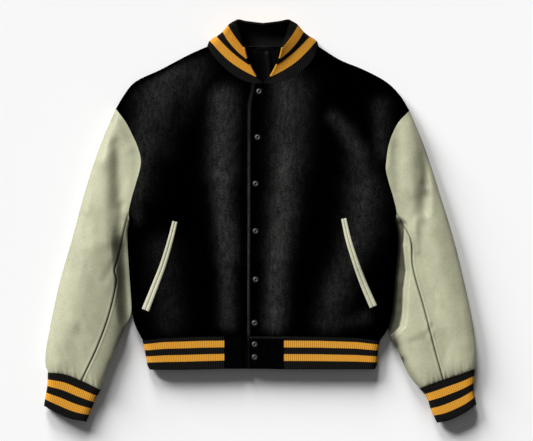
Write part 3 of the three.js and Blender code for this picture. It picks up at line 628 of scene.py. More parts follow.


# %% [markdown]
# ### Leather
# The sleeves are smooth, lightly waxed leather. Up close it has fine pebbles; further off its tone is cloudy.
# Shade is painted into its colour in the creases, along the seams and rolled edges, and where the body
# shadows the left sleeve.

# %% Leather
def leather_finish(name, pale, worn, roughness, deep=(0.045, 0.045, 0.028, 1)):
    """deep is the colour of painted shade: the creases, the seam, the rolled edges and the body's shadow, painted
    into the leather. A per-point attribute says where it lies.
    """
    leather = Finish(name, Specular_IOR_Level=0.35, Coat_Weight=0.0)
    pebbles = leather.node("ShaderNodeTexVoronoi", {"feature": "SMOOTH_F1"}, Vector=leather.place(), Scale=720.0,
                           Smoothness=0.5)
    cloud = leather.noise(22, 3)
    fine = leather.noise(260, 4)
    share = (cloud.step(0.35, 0.75) * 0.55 + fine.step(0.35, 0.75) * 0.45 + pebbles.step(0.3, 0.7) * 0.15).clamped()
    # Painted shade: the deep colour is mixed in where the per-point shade map says, in creases, along the seam and
    # rolled edges and in the body's shadow.
    hollow = (leather.attribute("hollow") * (0.75 + 0.5 * cloud)).clamped()
    leather.set(Base_Color=leather.mix(hollow, leather.mix(share, pale, worn), deep),
                Roughness=roughness + 0.14 * fine)
    leather.bump(pebbles * -0.6 + fine * 0.5, 0.0004, 0.35)
    return leather.material


LEATHER = leather_finish("sleeve_leather", (0.54, 0.54, 0.375, 1), (0.41, 0.41, 0.275, 1), 0.42)
WELT_LEATHER = leather_finish("welt_leather", (0.62, 0.62, 0.46, 1), (0.47, 0.47, 0.33, 1), 0.46)


# %% [markdown]
# ### Rib knit
# The collar, cuffs and hem are knitted in ribs, with gold yarn changed in for the stripes. The ribs are real
# ridges of the mesh. The finish reads the cloth's own v for the stripes and its u for the ribs, so both
# follow the cloth. Across each rib it paints the colour darker in the groove, as painted shade, and it adds
# the small stitches of each rib as a bump.

# %% Rib knit
STITCH = 1.9  # millimetres from one knitted stitch to the next


def knit_finish(name, stripes, height, ribs, width, along=1, gold=(0.79, 0.37, 0.042, 1),
                black=(0.012, 0.0112, 0.0104, 1)):
    """stripes are pairs of shares of the band's height. ribs are how many lie across its width. along is the
    axis of the cloth that runs up the ribs."""
    knit = Finish(name, Roughness=0.9, Specular_IOR_Level=0.1)
    up, across = knit.along(along), knit.along(1 - along)
    wander = knit.noise(420, 2) - 0.5
    band = up / (height * MM) + wander * (0.6 / height)
    edge = 0.35 / height
    mask = 0.0
    for low, high in stripes:
        mask = band.step(low - edge, low + edge) * (1 - band.step(high - edge, high + edge)) + mask
    phase = across * (ribs / (width * MM) * 2 * math.pi)
    groove = 0.5 + 0.5 * (phase + math.pi).maths("COSINE")
    stitch = (up * (2 * math.pi / (STITCH * MM)) + 1.4 * (phase * 0.5).wave().size()).wave()
    fuzz = knit.noise(900, 3, 0.6)
    # Painted shade: the colour is darker in each rib's groove and paler on its crown, mixed with the yarn's fuzz and
    # stitches.
    shade = (0.62 * groove.step(0.1, 0.95) + 0.3 * fuzz + 0.08 * stitch).clamped()
    dark = knit.mix(shade, (0.0004, 0.0004, 0.0004, 1), black)
    rich = knit.mix(shade, (0.58, 0.26, 0.023, 1), gold)
    knit.set(Base_Color=knit.mix(mask, dark, rich) if stripes else dark)
    knit.bump(stitch * 0.35 + fuzz * 0.8, 0.0005, 0.5)
    return knit.material


# %% [markdown]
# ### Satin, thread and snaps
# The lining is a black satin, smoother than anything else here. Thread is a matte twisted cord. The snap caps
# are dark gunmetal, pressed from sheet and a little polished on their rims.

# %% Lining, thread and metal
def lining_finish():
    satin = Finish("satin_lining", Specular_IOR_Level=0.05)
    weave = satin.noise(1100, 2, 0.5, (1, 0.15, 1))
    cloud = satin.noise(45, 2)
    satin.set(Base_Color=satin.mix(cloud, (0.0004, 0.0004, 0.0005, 1), (0.002, 0.002, 0.0022, 1)),
              Roughness=0.34 + 0.2 * weave)
    satin.bump(weave, 0.0002, 0.4)
    return satin.material


def thread_finish(name, colour):
    thread = Finish(name, Roughness=0.8, Specular_IOR_Level=0.2)
    twist = thread.noise(2400, 2)
    thread.set(Base_Color=thread.mix(twist, tuple(0.55 * c for c in colour) + (1,), (*colour, 1)))
    thread.bump(twist, 0.0002, 0.5)
    return thread.material


def metal_finish():
    metal = Finish("gunmetal", Specular_IOR_Level=0.5)
    haze = metal.noise(160, 3)
    scratch = metal.noise(700, 2, 0.5, (1, 0.2, 1))
    worn = metal.attribute("rim")
    shine = (worn * (0.4 + 0.6 * haze)).clamped()
    metal.set(Base_Color=metal.mix(shine, (0.018, 0.018, 0.019, 1), (0.17, 0.17, 0.175, 1)),
              Metallic=0.8, Roughness=0.38 + 0.16 * haze)
    metal.bump(scratch, 0.00015, 0.4)
    return metal.material


SATIN, GUNMETAL = lining_finish(), metal_finish()
BLACK_THREAD = thread_finish("black_thread", (0.012, 0.012, 0.012))
print("materials:", len(bpy.data.materials))


# %% [markdown]
# ## The body
# Melton panels: a back and two fronts. The wearer's left front laps over the right one, so the right front
# drops by its own thickness where it runs under. The outer shape of a front is a patch between its hem, its
# centre, its neck and shoulder, and its side with the armhole.

# %% The fronts' plan
FRONT_SEAM_AT, BACK_SEAM_AT = 1 - 6.7 / 240, 15 / 240  # shares of the armhole where the sleeve's seams start
NECK_TOP = 283
NECK_LAP = {"neck": 0.1, "share": 0.12}
UNDERARM = 0.5


def placket_edge(y):
    return PLACKET["x"] + PLACKET["curve"] * ease(y, PLACKET["curve_from"], 284) ** 2


def under_lap(x, y, thickness):
    return (thickness + LAP) * ease(x - placket_edge(y), -13, -4)


def outside_of(lines):
    return chain(backwards(lines["body"]), backwards(lines["armhole"]), UNDERARM)


def front_plan(lines, centre_x):
    hem_centre = hem_y(0.0)

    def centre(share):
        y = lerp(hem_centre, NECK_TOP, np.asarray(share, float))
        return np.stack([centre_x(y), y], -1)
    to_neck = straight(centre(1.0), lines["neck"](NECK_LAP["neck"]))
    neck = chain(to_neck, stretch(lines["neck"], NECK_LAP["neck"], 1), NECK_LAP["share"])
    top = chain(neck, lines["shoulder"], 0.5)
    hem = along_x(hem_y, float(centre(0.0)[0]), float(lines["body"](1.0)[0]))
    return patch(hem, top, centre, outside_of(lines))


def front_surface(half):
    lines = LINES[half]
    plan = front_plan(lines, placket_edge if half == "left" else lambda y: np.full_like(y, PLACKET["under"]))
    over = detailed(raised(plan, upper_height, clear_of_hem), body_detail)
    if half == "left":
        return over

    def under(u, v):
        point = over(u, v)
        point[..., 2] -= under_lap(point[..., 0], point[..., 1], WALL["wool"])
        return point
    return under


# %% Painted light on the wool's fold ridges, as lines: from x, from y, to x, to y, how much, how wide
PAINTED_LIGHT_LINES = [
    (-165, 310, -205, 255, 0.52, 46), (-205, 255, -228, 167, 0.52, 36), (-228, 167, -250, 64, 0.42, 25),
    (-250, 64, -258, 10, 0.3, 16), (-74, 250, -78, 99, 0.85, 25), (-78, 99, -67, -73, 0.74, 20),
    (-67, -73, -66, -208, 0.5, 16), (63, 269, 57, 129, 0.76, 31), (57, 129, 47, 26, 0.86, 27),
    (47, 26, 38, -63, 0.86, 24), (38, -63, 30, -208, 0.76, 20), (150, 214, 178, 181, 0.4, 14),
    (178, 181, 205, 132, 0.42, 17), (205, 132, 211, 64, 0.42, 26), (248, 236, 250, 140, 0.3, 18),
    (211, 64, 211, -3, 0.48, 34), (211, -3, 198, -38, 0.44, 32), (198, -38, 157, -140, 0.38, 28),
    (157, -140, 142, -202, 0.35, 28), (150, -212, 215, -196, 0.22, 14), (-200, -60, -185, -200, 0.22, 30),
]
# A painted highlight line along the lapped front edge and the tab's edges: how far in from the edge, how wide, how
# bright, and how bright on the tab.
EDGE_HIGHLIGHT = {"from_edge": 2.8, "width": 1.4, "light": 0.36, "tab": 0.12}


def painted_light_of(x, y):
    """The painted light of the strongest of the lines near a point, blended where two meet."""
    spots = np.stack([np.ravel(x), np.ravel(y)], -1)
    near = [lift * np.exp(-(piece_distance(np.array([line], float), spots) / width) ** 2)
            for *line, lift, width in PAINTED_LIGHT_LINES]
    blended = np.power(np.power(near, 4).sum(0), 0.25).reshape(np.shape(x))
    return np.clip(blended * ease(from_edges(x, y), 2, 20), 0, 1)


def bell(distance, width):
    return np.exp(-(distance / width) ** 2)


def front_values(half):
    def values(u, v, places):
        x, y, _ = np.moveaxis(places, -1, 0)
        # Painted highlight: a pale line along the left front's lapped edge, where it catches the light.
        folded = EDGE_HIGHLIGHT["light"] * bell(x - placket_edge(y) - EDGE_HIGHLIGHT["from_edge"], EDGE_HIGHLIGHT["width"])
        return {"nap": painted_light_of(x, y), "edge": folded * (half == "left")}
    return values


def tab_values(half):
    def values(u, v, places):
        x, y, _ = np.moveaxis(places, -1, 0)
        # Painted highlight: pale lines along the left tab's top edge and its front edge.
        top = bell(hem_y(x) - y - 2.5, 1.5)
        side = 0.4 * bell(x - PLACKET["x"] - EDGE_HIGHLIGHT["from_edge"], EDGE_HIGHLIGHT["width"])
        return {"nap": np.full(len(u), 0.03), "edge": EDGE_HIGHLIGHT["tab"] * np.maximum(top, side) * (half == "left")}
    return values


def plain_nap(u, v, places):
    return {"nap": np.full(len(u), 0.03)}


# %% Fronts and back
SIDE_ROWS = joined(shares(82, start=True), shares(90, start=True, end=True), UNDERARM)
FRONT_COLUMNS = joined(shares(44, start=True, closeness=0.5), shares(56, end=True), 0.5)
for half in ("right", "left"):
    cloth(f"cloth_front_{half}", (0.33, 0.66), ["cloth_back"], slot="wool", finish=WOOL,
          surface=front_surface(half), us=FRONT_COLUMNS, vs=SIDE_ROWS, thickness=WALL["wool"],
          looks=(0.5, 0.5, 1), size=(300, 560), values=front_values(half))

right, left = LINES["right"], LINES["left"]
necks = straight(right["neck"](1.0), left["neck"](1.0))
back_top = chain(chain(backwards(right["shoulder"]), necks, 0.5), left["shoulder"], 2 / 3)
back_plan = patch(along_x(hem_y, -241, 245), back_top, outside_of(right), outside_of(left))
cloth("cloth_back", (0.64, 0.62), [], slot="wool", finish=WOOL,
      surface=raised(back_plan, lower_height, clear_of_hem), us=shares(110, True, True, 0.06, 0.9),
      vs=joined(shares(50, start=True), shares(60, True, True), UNDERARM), thickness=WALL["wool"],
      looks=(0.5, 0.5, -1), size=(560, 560), values=plain_nap)


# %% [markdown]
# ## The sleeves
# Each sleeve is two pieces of leather. The top piece wraps round the outer edge to a seam at the back, and
# the under piece runs from the front seam round the inner edge to the same seam. Both pucker into the cuff.

# %% Sleeve plans
ARM_DRAW = 1000
SOFT_REACH = 0.15


def nearest_share(path, point):
    tries = np.linspace(0, 1, 401)
    return float(tries[np.argmin(((path(tries) - point) ** 2).sum(-1))])


def sleeve_surfaces(half):
    lines, side = LINES[half], SIDE[half]
    seam_start, seam_end = lines["armhole"](FRONT_SEAM_AT), lines["front_seam"](1.0)
    cuff_share = nearest_share(lines["cuff_top"], seam_end)
    to_start = seam_start - lines["front_seam"](0.0)
    to_end = lines["cuff_top"](cuff_share) - seam_end

    def front_seam(share):
        near = np.asarray(share, float)[..., None]
        return lines["front_seam"](share) + to_start * (1 - near) ** 6 + to_end * near ** 6

    def soft_seam(share):
        share = np.asarray(share, float)
        reach = np.minimum(SOFT_REACH, np.minimum(share, 1 - share))
        return sum(front_seam(share + k * reach) for k in np.linspace(-1, 1, 9)) / 9

    def bent_at_seam(plan):
        """The plan with the seam's tight bends given back, close to the seam alone."""
        return lambda u, v: plan(u, v) + (front_seam(u) - soft_seam(u)) * v[..., None] ** 8

    def drawn_out(plan):
        def opened(u, v):
            spot = plan(u, v)
            spot[..., 0] += side * ARM_DRAW * u * (1 - u) ** 4 * v * v * (1 - v)
            return spot
        return opened

    def detail(x, y):
        return sleeve_detail(half, x, y)
    outer = bent_at_seam(drawn_out(patch(
        lines["sleeve_outer"], soft_seam, stretch(lines["armhole"], 0, FRONT_SEAM_AT),
        stretch(lines["cuff_top"], 0, cuff_share))))
    inner = patch(front_seam, lines["sleeve_inner"], stretch(lines["armhole"], FRONT_SEAM_AT, 1),
                  stretch(lines["cuff_top"], cuff_share, 1))
    under = drawn_out(patch(lines["sleeve_outer"], lines["sleeve_inner"], lines["armhole"], lines["cuff_top"]))
    outer_top = tucked(detailed(raised(outer, upper_height, clear_of_cuffs), detail))
    inner_top = tucked(detailed(raised(inner, upper_height, clear_of_cuffs), detail))
    below = tucked(raised(under, lower_height, clear_of_cuffs))

    def top(u, v):
        return np.where(v[..., None] < 0, below(u, np.abs(v) * BACK_SEAM_AT), outer_top(u, np.clip(v, 0, 1)))

    def strip(u, v):
        return np.where(v[..., None] > 1, below(u, np.clip(2 - v, 0, 1)), inner_top(u, np.clip(v, 0, 1)))
    return top, strip


# %% Painted shade on the leather: in its creases, along the seams and rolled edges, and the body's shadow
PAINTED_SHADE_LINES = [
    (-292, 157, -289, 30, 0.14, 10), (-289, 30, -300, -80, 0.15, 12), (-317, -90, -312, -140, 0.15, 14),
    (-284, -50, -284, -250, 0.6, 18), (-325, -200, -345, -290, 0.12, 30), (-298, -100, -325, -230, 0.2, 22),
    (278, 187, 280, 44, 0.18, 9), (340, 160, 339, 60, 0.5, 10), (339, 60, 334, 0, 0.22, 12),
    (334, 0, 316, -60, 0.25, 11), (309, -243, 334, -236, 0.2, 7), (344, -250, 352, -290, 0.12, 25),
    (264, -224, 290, -282, 0.5, 9), (290, -282, 325, -338, 0.35, 8), (268, -222, 276, -250, 0.6, 12),
]


def leather_values(u, v, places):
    x, y, _ = np.moveaxis(places, -1, 0)
    # Painted shade: a dark line in the seam's groove, on the lower sleeve.
    seam = 0.9 * bell(from_seams(x, y), 1.3) * ease(-y, -30, 0)
    # Painted shadow: the body's cast shadow, a crisp wavy dark band on the left sleeve beside the body.
    gap = 0.95 * beside_body(x, y, (0, 1), (1.5, 1.5)) * (x > 0)
    # Painted shade: a darker band along the rolled edges, where the leather turns down.
    rolled = 0.16 * bell(from_edges(x, y), 4)
    return {"hollow": np.clip(ridges(PAINTED_SHADE_LINES, x, y) + seam + gap + rolled, 0, 1)}


# %% Sleeves
SLEEVE_ROWS = shares(190, True, True, 0.04, 0.7)
for half in ("right", "left"):
    top, strip = sleeve_surfaces(half)
    wrap = shares(8, end=True, reach=0.3)
    cloth(f"cloth_sleeve_{half}_top", (0.2, 0.58), ["cloth_back"], slot="leather",
          finish=LEATHER, surface=top, us=SLEEVE_ROWS,
          vs=np.concatenate([wrap[:-1] - 1, shares(60, start=True, end=True, reach=0.1)]), thickness=WALL["leather"],
          looks=(0.5, 0.5, 1), size=(560, 120), values=leather_values)
    strip_run = joined(shares(30, start=True, end=True, reach=0.15), shares(34, start=True, reach=0.12),
                       1 / (2 - BACK_SEAM_AT))
    cloth(f"cloth_sleeve_{half}_under", (0.2, 0.5), ["cloth_back"],
          slot="leather", finish=LEATHER, surface=strip, us=SLEEVE_ROWS, vs=strip_run * (2 - BACK_SEAM_AT),
          thickness=WALL["leather"], looks=(0.5, 0.3, 1), size=(560, 120), values=leather_values)


# %% [markdown]
# ## Ribbed cuffs and hem
# A rib is a rounded ridge with a narrow groove beside it. The knit is a smooth band first, and then each
# point moves out along the band's own direction by the rib's section. A cuff is a ring, and the hem is one strip
# from tab to tab that passes round the sides and under the back.

# %% Ribs raised on a surface
RIB_RISE = 0.8
POINTS_A_RIB = 6


def rib_section(phase):
    """1 on a rib's crown and 0 in the groove, for a phase counted in ribs."""
    return np.abs(np.sin(np.pi * phase)) ** 0.7


def outward(surface, u, v, step=2e-3):
    """Unit vectors square to the surface. They point up on its upper side."""
    along = surface(np.clip(u + step, 0, 1), v) - surface(np.clip(u - step, 0, 1), v)
    across = surface(u, v + step) - surface(u, v - step)
    square = np.cross(along, across)
    return square / np.linalg.norm(square, axis=-1, keepdims=True)


def ribbed(surface, phase, sign, strength=lambda u, v: 1.0, rise=RIB_RISE):
    def knitted(u, v):
        flat = surface(u, v)
        lift = rise * (rib_section(phase(v)) - 0.75) * strength(u, v) * ease(flat[..., 2], 1, 7)
        return flat + outward(surface, u, v) * (sign * lift)[..., None]
    return knitted


def turned_in(surface, length, radius=2.2):
    """The band's free end, at u = 1, curves in as a folded edge does."""
    def folded(u, v):
        point = surface(u, v)
        depth = radius * (1 - swell((1 - u) * length / radius))
        point[..., 2] -= np.sign(point[..., 2] - 5) * depth * 0.6
        return point
    return folded


# %% Cuffs
CUFF = {"ribs": 26, "length": 68, "around": 190, "stripes": [(0.2, 0.4), (0.6, 0.8)]}
for half in ("right", "left"):
    lines = LINES[half]
    plan = patch(lines["cuff_outer"], lines["cuff_inner"], lines["cuff_top"], lines["cuff_end"])
    upper, lower = raised(plan, upper_height, on_rib), raised(plan, lower_height, on_rib)

    def ring(u, v, upper=upper, lower=lower):
        v = np.mod(v, 2)
        return np.where(v[..., None] <= 1, upper(u, np.clip(v, 0, 1)), lower(u, np.clip(2 - v, 0, 1)))
    knit = knit_finish(f"knit_cuff_{half}", CUFF["stripes"], CUFF["length"], 2 * CUFF["ribs"], CUFF["around"],
                       along=0)
    ring_run = np.linspace(0, 2, 2 * CUFF["ribs"] * POINTS_A_RIB + 1)
    cloth(f"cloth_cuff_{half}", (0.23, 0.09), ["cloth_back"], shaped=False, slot="rib_knit", finish=knit,
          surface=turned_in(ribbed(ring, lambda v: v * CUFF["ribs"], SIDE[half]), CUFF["length"]),
          us=shares(26, end=True), vs=ring_run, thickness=WALL["knit"], looks=(0.5, 0.5, 1),
          size=(CUFF["length"], CUFF["around"] / 2), ring=True, bevel=0)

# %% Hem
HEM = {"ribs": {"right": 44, "left": 47}, "length": 66, "stripes": [(0.13, 0.335), (0.54, 0.743)]}


def hem_end(x):
    return straight((x, hem_y(x)), (x, rib_end_y(x)))


def hem_front(tab_x, lines):
    return raised(patch(hem_end(tab_x), lines["rib"], along_x(hem_y, tab_x, float(lines["rib"](0.0)[0])),
                        along_x(rib_end_y, tab_x, float(lines["rib"](1.0)[0]))), upper_height, on_rib)


hem_right, hem_left = hem_front(TAB["inner"], right), hem_front(TAB["outer"], left)
hem_below = raised(patch(
    right["rib"], left["rib"], along_x(hem_y, float(right["rib"](0.0)[0]), float(left["rib"](0.0)[0])),
    along_x(rib_end_y, float(right["rib"](1.0)[0]), float(left["rib"](1.0)[0]))), lower_height, on_rib)
BACK_RIBS = 130


def hem_strip(u, v):
    second = np.clip(v - 1, 0, 1)
    lower = hem_below(u, second)
    front = np.where(v[..., None] < 1.5, hem_right(u, np.clip(v, 0, 1)), hem_left(u, np.clip(3 - v, 0, 1)))
    return np.where(((v > 1) & (v < 2))[..., None], lower, front)


def hem_phase(v):
    return np.where(v <= 1, v * HEM["ribs"]["right"],
                    np.where(v < 2, (v - 1) * BACK_RIBS, (v - 2) * HEM["ribs"]["left"]))


def hem_strength(u, v):
    return np.where((v > 1) & (v < 2), 0.0, 1.0)


def run_of(ribs):
    return np.linspace(0, 1, ribs * POINTS_A_RIB + 1)


hem_run = np.concatenate([run_of(HEM["ribs"]["right"]), 1 + shares(60, True, True)[1:-1],
                          2 + run_of(HEM["ribs"]["left"])])
RIB_PITCH = 3.6
ALL_RIBS = sum(HEM["ribs"].values()) + BACK_RIBS


def counted(v):
    """The share of all the hem's ribs that lie before v."""
    before = np.where(v <= 1, 0, np.where(v < 2, HEM["ribs"]["right"], HEM["ribs"]["right"] + BACK_RIBS))
    return (before + hem_phase(v)) / ALL_RIBS


knit_hem = knit_finish("knit_hem", HEM["stripes"], HEM["length"], ALL_RIBS, ALL_RIBS * RIB_PITCH, along=0)
cloth("cloth_hem_rib", (0.96, 0.085), ["cloth_back"], shaped=False, slot="rib_knit", finish=knit_hem,
      surface=turned_in(ribbed(hem_strip, hem_phase, 1, hem_strength), HEM["length"]), us=shares(26, end=True),
      vs=hem_run, thickness=WALL["knit"], looks=(0.5, 0.5, 1), size=(HEM["length"], ALL_RIBS * RIB_PITCH),
      bevel=0, spread=counted)


# %% Tabs: plain melton ends of the hem, the left one over the right
def turned_in_v(surface):
    folded = turned_in(lambda v, u: surface(u, v), HEM["length"])
    return lambda u, v: folded(v, u)


def tab_surface(from_x, to_x, drops):
    plan = patch(along_x(hem_y, from_x, to_x), along_x(rib_end_y, from_x, to_x), hem_end(from_x), hem_end(to_x))
    over = turned_in_v(raised(plan, upper_height, on_rib))

    def tab(u, v):
        point = over(u, v)
        if drops:
            point[..., 2] -= under_lap(point[..., 0], point[..., 1], WALL["tab"])
        return point
    return tab


TABS = {"right": (TAB["inner"], PLACKET["under"], True), "left": (PLACKET["x"], TAB["outer"], False)}
for half, (from_x, to_x, drops) in TABS.items():
    cloth(f"cloth_hem_tab_{half}", (0.085, 0.075), ["cloth_back"], slot="wool",
          finish=WOOL, surface=tab_surface(from_x, to_x, drops), us=shares(44, True, True),
          vs=shares(40, end=True), thickness=WALL["tab"], looks=(0.5, 0.5, 1), size=(80, 66),
          values=tab_values(half))


# %% [markdown]
# ## The collar
# The collar is one knitted band. It is sewn to the neck, stands up, and rolls over at the sides, so its inside
# shows at the back. Six lines run along it: its seam, the edges of its two gold stripes, and its free edge.
# Each is given by sections from the front end of the band (0), round the side (0.5), to the back (1).

# %% Lines along the collar
COLLAR = {"x": 6, "back_seam": 361, "ribs": 120, "height": 62, "around": 520}
COLLAR_HEIGHTS = (0, 0.25, 0.43, 0.61, 0.79, 1)
COLLAR_SECTIONS = {
    0: [(16, 296, 24), (29.7, 320.3, 28), (35.3, 332.4, 34), (40.8, 355.6, 40), (37, 359, 33)],
    0.125: [(42.6, 310, 24), (47.5, 333, 28), (49.5, 344, 34), (49.1, 366.2, 40), (43, 371, 37)],
    0.25: [(67.5, 326.7, 24), (64.4, 346.7, 28), (62.3, 357.1, 34), (57.1, 377.1, 40), (48, 384.6, 40)],
    0.375: [(88.4, 346.2, 24), (80, 361.9, 28), (73.7, 371.5, 34), (64.6, 388.3, 40), (51, 395, 42)],
    0.475: [(104.6, 364.4, 22), (91.9, 374.6, 26), (81.2, 384.2, 33), (70, 397.7, 40), (54, 403, 42.5)],
    0.5: [(109.1, 369.9, 12), (94.7, 377.9, 17), (83, 387.3, 26), (71.3, 400.1, 35), (57.5, 409, 43)],
    0.525: [(105, 373, 2.5), (91, 382, 8), (80, 390, 17), (69, 403, 30), (51, 412, 43.5)],
    0.72: [(60, 380, 0), (55, 393.5, 4), (50, 401.5, 14), (44, 407.5, 29), (36, 409, 44)],
    1: [(0, 380, 0), (0, 392.5, 4), (0, 400.5, 14), (0, 405.5, 29), (0, 404, 44)],
}


def eased_line(stations, points):
    """A smooth line through points at uneven stations."""
    stations, points = np.array(stations, float), np.array(points, float)
    ends = np.concatenate([[0], np.arange(len(stations)), [len(stations) - 1]]).astype(int)
    slopes = ((points[ends[2:]] - points[ends[:-2]])
              / (stations[ends[2:]] - stations[ends[:-2]]).reshape(-1, *[1] * (points.ndim - 1)))

    def line(at):
        at = np.asarray(at, float)
        i = np.clip(np.searchsorted(stations, at) - 1, 0, len(stations) - 2)
        gap = (stations[i + 1] - stations[i]).reshape(-1, 1)
        t = (at.reshape(-1, 1) - stations[i].reshape(-1, 1)) / gap
        return (points[i] * (2 * t ** 3 - 3 * t * t + 1) + slopes[i] * gap * (t ** 3 - 2 * t * t + t)
                + points[i + 1] * (3 * t * t - 2 * t ** 3) + slopes[i + 1] * gap * (t ** 3 - t * t))
    return line


RAILS = [eased_line(list(COLLAR_SECTIONS), [edges[k] for edges in COLLAR_SECTIONS.values()]) for k in range(5)]


# %% The collar's surface
def neck_seam(half, at):
    lines = LINES[half]
    spot = lines["neck"](np.clip(at / 0.5, 0, 1))
    front = np.column_stack([spot, upper_height(spot[:, 0], spot[:, 1], np.ones(len(spot)))])
    behind = straight(lines["neck"](1.0), (COLLAR["x"], COLLAR["back_seam"]))(np.clip((at - 0.5) / 0.5, 0, 1))
    back = np.column_stack([behind, lower_height(behind[:, 0], behind[:, 1], np.ones(len(behind)))])
    return np.where(at[:, None] <= 0.5, front, back)


def collar_side(half, at, up):
    """Points of one half, by their station along the band and their share of its height."""
    rails = [neck_seam(half, at)]
    for rail in RAILS:
        out = rail(at)
        rails.append(np.column_stack([COLLAR["x"] + SIDE[half] * out[:, 0], out[:, 1], np.maximum(out[:, 2], 0)]))
    rails = np.stack(rails)
    heights = np.array(COLLAR_HEIGHTS)
    slopes = np.gradient(rails, heights, axis=0)
    i = np.clip(np.searchsorted(heights, up) - 1, 0, len(heights) - 2)
    pick = np.arange(len(up))
    gap = (heights[i + 1] - heights[i])[:, None]
    t = (up[:, None] - heights[i][:, None]) / gap
    smoothness = 0.75
    a, b = rails[i, pick], rails[i + 1, pick]
    leave, arrive = slopes[i, pick] * smoothness, slopes[i + 1, pick] * smoothness
    return (a * (2 * t ** 3 - 3 * t * t + 1) + leave * gap * (t ** 3 - 2 * t * t + t)
            + b * (3 * t * t - 2 * t ** 3) + arrive * gap * (t ** 3 - t * t))


def collar_band(u, v):
    """u runs across from the right front end to the left one, v up from the seam."""
    across, up = 2 * u - 1, np.clip(v, 0, 1)
    at = 1 - np.abs(across)
    place = np.empty((len(u), 3))
    for half, chosen in (("right", across < 0), ("left", across >= 0)):
        if chosen.any():
            place[chosen] = collar_side(half, at[chosen], up[chosen])
    return place


def collar_knit(u, v):
    flat = collar_band(u, v)
    step = 2e-3
    along = collar_band(np.clip(u + step, 0, 1), v) - collar_band(np.clip(u - step, 0, 1), v)
    above = collar_band(u, np.clip(v + step, 0, 1)) - collar_band(u, np.clip(v - step, 0, 1))
    square = np.cross(along, above)
    square /= np.linalg.norm(square, axis=-1, keepdims=True)
    free = ease(flat[..., 2], 0.5, 5)
    lift = 0.7 * (rib_section(u * COLLAR["ribs"]) - 0.8) * free
    return flat + square * lift[..., None]


knit_collar = knit_finish("knit_collar", [(0.25, 0.43), (0.61, 0.79)], COLLAR["height"], COLLAR["ribs"],
                          COLLAR["around"])
knit_inside = knit_finish("knit_collar_inside", [], COLLAR["height"], COLLAR["ribs"], COLLAR["around"],
                          black=(0.014, 0.0135, 0.013, 1))
collar = cloth("cloth_collar", (0.52, 0.08), ["cloth_back", "cloth_front_left"], shaped=False, slot="rib_knit",
               finish=knit_collar, surface=collar_knit, us=np.linspace(0, 1, COLLAR["ribs"] * POINTS_A_RIB + 1),
               vs=shares(34, True, True), thickness=WALL["knit"], looks=(0.12, 0.3, 1),
               size=(COLLAR["around"], COLLAR["height"]), bevel=0)
collar.data.materials.append(knit_inside)
collar.modifiers["thickness"].material_offset = 1


# %% [markdown]
# ## Snaps
# A snap's cap is a low dome with a small dished middle and a flat rim. Its section is drawn once and
# spun round its axis. Each cap then sits square to the cloth under it.

# %% Snap caps
SNAP = {"radius": 7, "lift": 0.35}
SNAP_PLACES = [(-2, 266), (-5, 172), (-9, 77), (-9, -20), (-9, -119), (-11, -208), (-11, -252), (-11, -278)]
SNAP_SECTION = [(0, 2.2), (1.3, 2.3), (2.4, 2.9), (3.5, 3.25), (4.7, 2.85), (5.7, 1.9), (6.4, 1.15), (7.0, 0.9),
                (7.0, 0.3), (6.6, 0)]


def top_height(x, y):
    """The outer height of the upper sheet at one point."""
    x, y = np.array([float(x)]), np.array([float(y)])
    tab = y < hem_y(x)
    clear = on_rib(x, y) if tab[0] else clear_of_hem(x, y)
    return float(upper_height(x, y, clear)[0])


def stand_on(x, y, step=3.0):
    """A point of the cloth, and the direction that is square to it."""
    slope_x = (top_height(x + step, y) - top_height(x - step, y)) / (2 * step)
    slope_y = (top_height(x, y + step) - top_height(x, y - step)) / (2 * step)
    return Vector((x, y, top_height(x, y))), Vector((-slope_x, -slope_y, 1)).normalized()


for number, (x, y) in enumerate(SNAP_PLACES, 1):
    cap = bmesh.new()
    points = [cap.verts.new((out, 0, up)) for out, up in SNAP_SECTION]
    edges = [cap.edges.new(pair) for pair in zip(points, points[1:])]
    bmesh.ops.spin(cap, geom=points + edges, axis=(0, 0, 1), cent=(0, 0, 0), angle=math.tau, steps=40,
                   use_merge=True)
    bmesh.ops.remove_doubles(cap, verts=cap.verts, dist=1e-4)
    rim = [edge for edge in cap.edges if edge.is_boundary]
    bmesh.ops.holes_fill(cap, edges=rim)
    bmesh.ops.recalc_face_normals(cap, faces=cap.faces)
    worn = cap.verts.layers.float.new("rim")
    for vert in cap.verts:
        out = math.hypot(vert.co.x, vert.co.y)
        vert[worn] = math.exp(-((out - 3.9) / 1.3) ** 2)
    spot, up = stand_on(x, y)
    turn = Vector((0, 0, 1)).rotation_difference(up).to_matrix().to_4x4()
    bmesh.ops.transform(cap, matrix=turn, verts=cap.verts)
    bmesh.ops.translate(cap, vec=spot + up * SNAP["lift"], verts=cap.verts)
    bmesh.ops.scale(cap, vec=(MM, MM, MM), verts=cap.verts)
    mesh = bpy.data.meshes.new(f"cap_{number}")
    cap.to_mesh(mesh)
    cap.free()
    mesh.shade_smooth()
    mesh.materials.append(GUNMETAL)
    piece = bpy.data.objects.new(f"cap_{number}", mesh)
    bpy.context.scene.collection.objects.link(piece)
    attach(piece, "root")
    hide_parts(f"snap_{number}")
print("snap caps:", len(SNAP_PLACES))


# %% [markdown]
# ## Pocket welts
# Each pocket mouth is edged with two strips of leather, folded over and laid side by side. A strip is a grid
# wrapped round the strip's own section, closed along its length and rounded down at both ends.

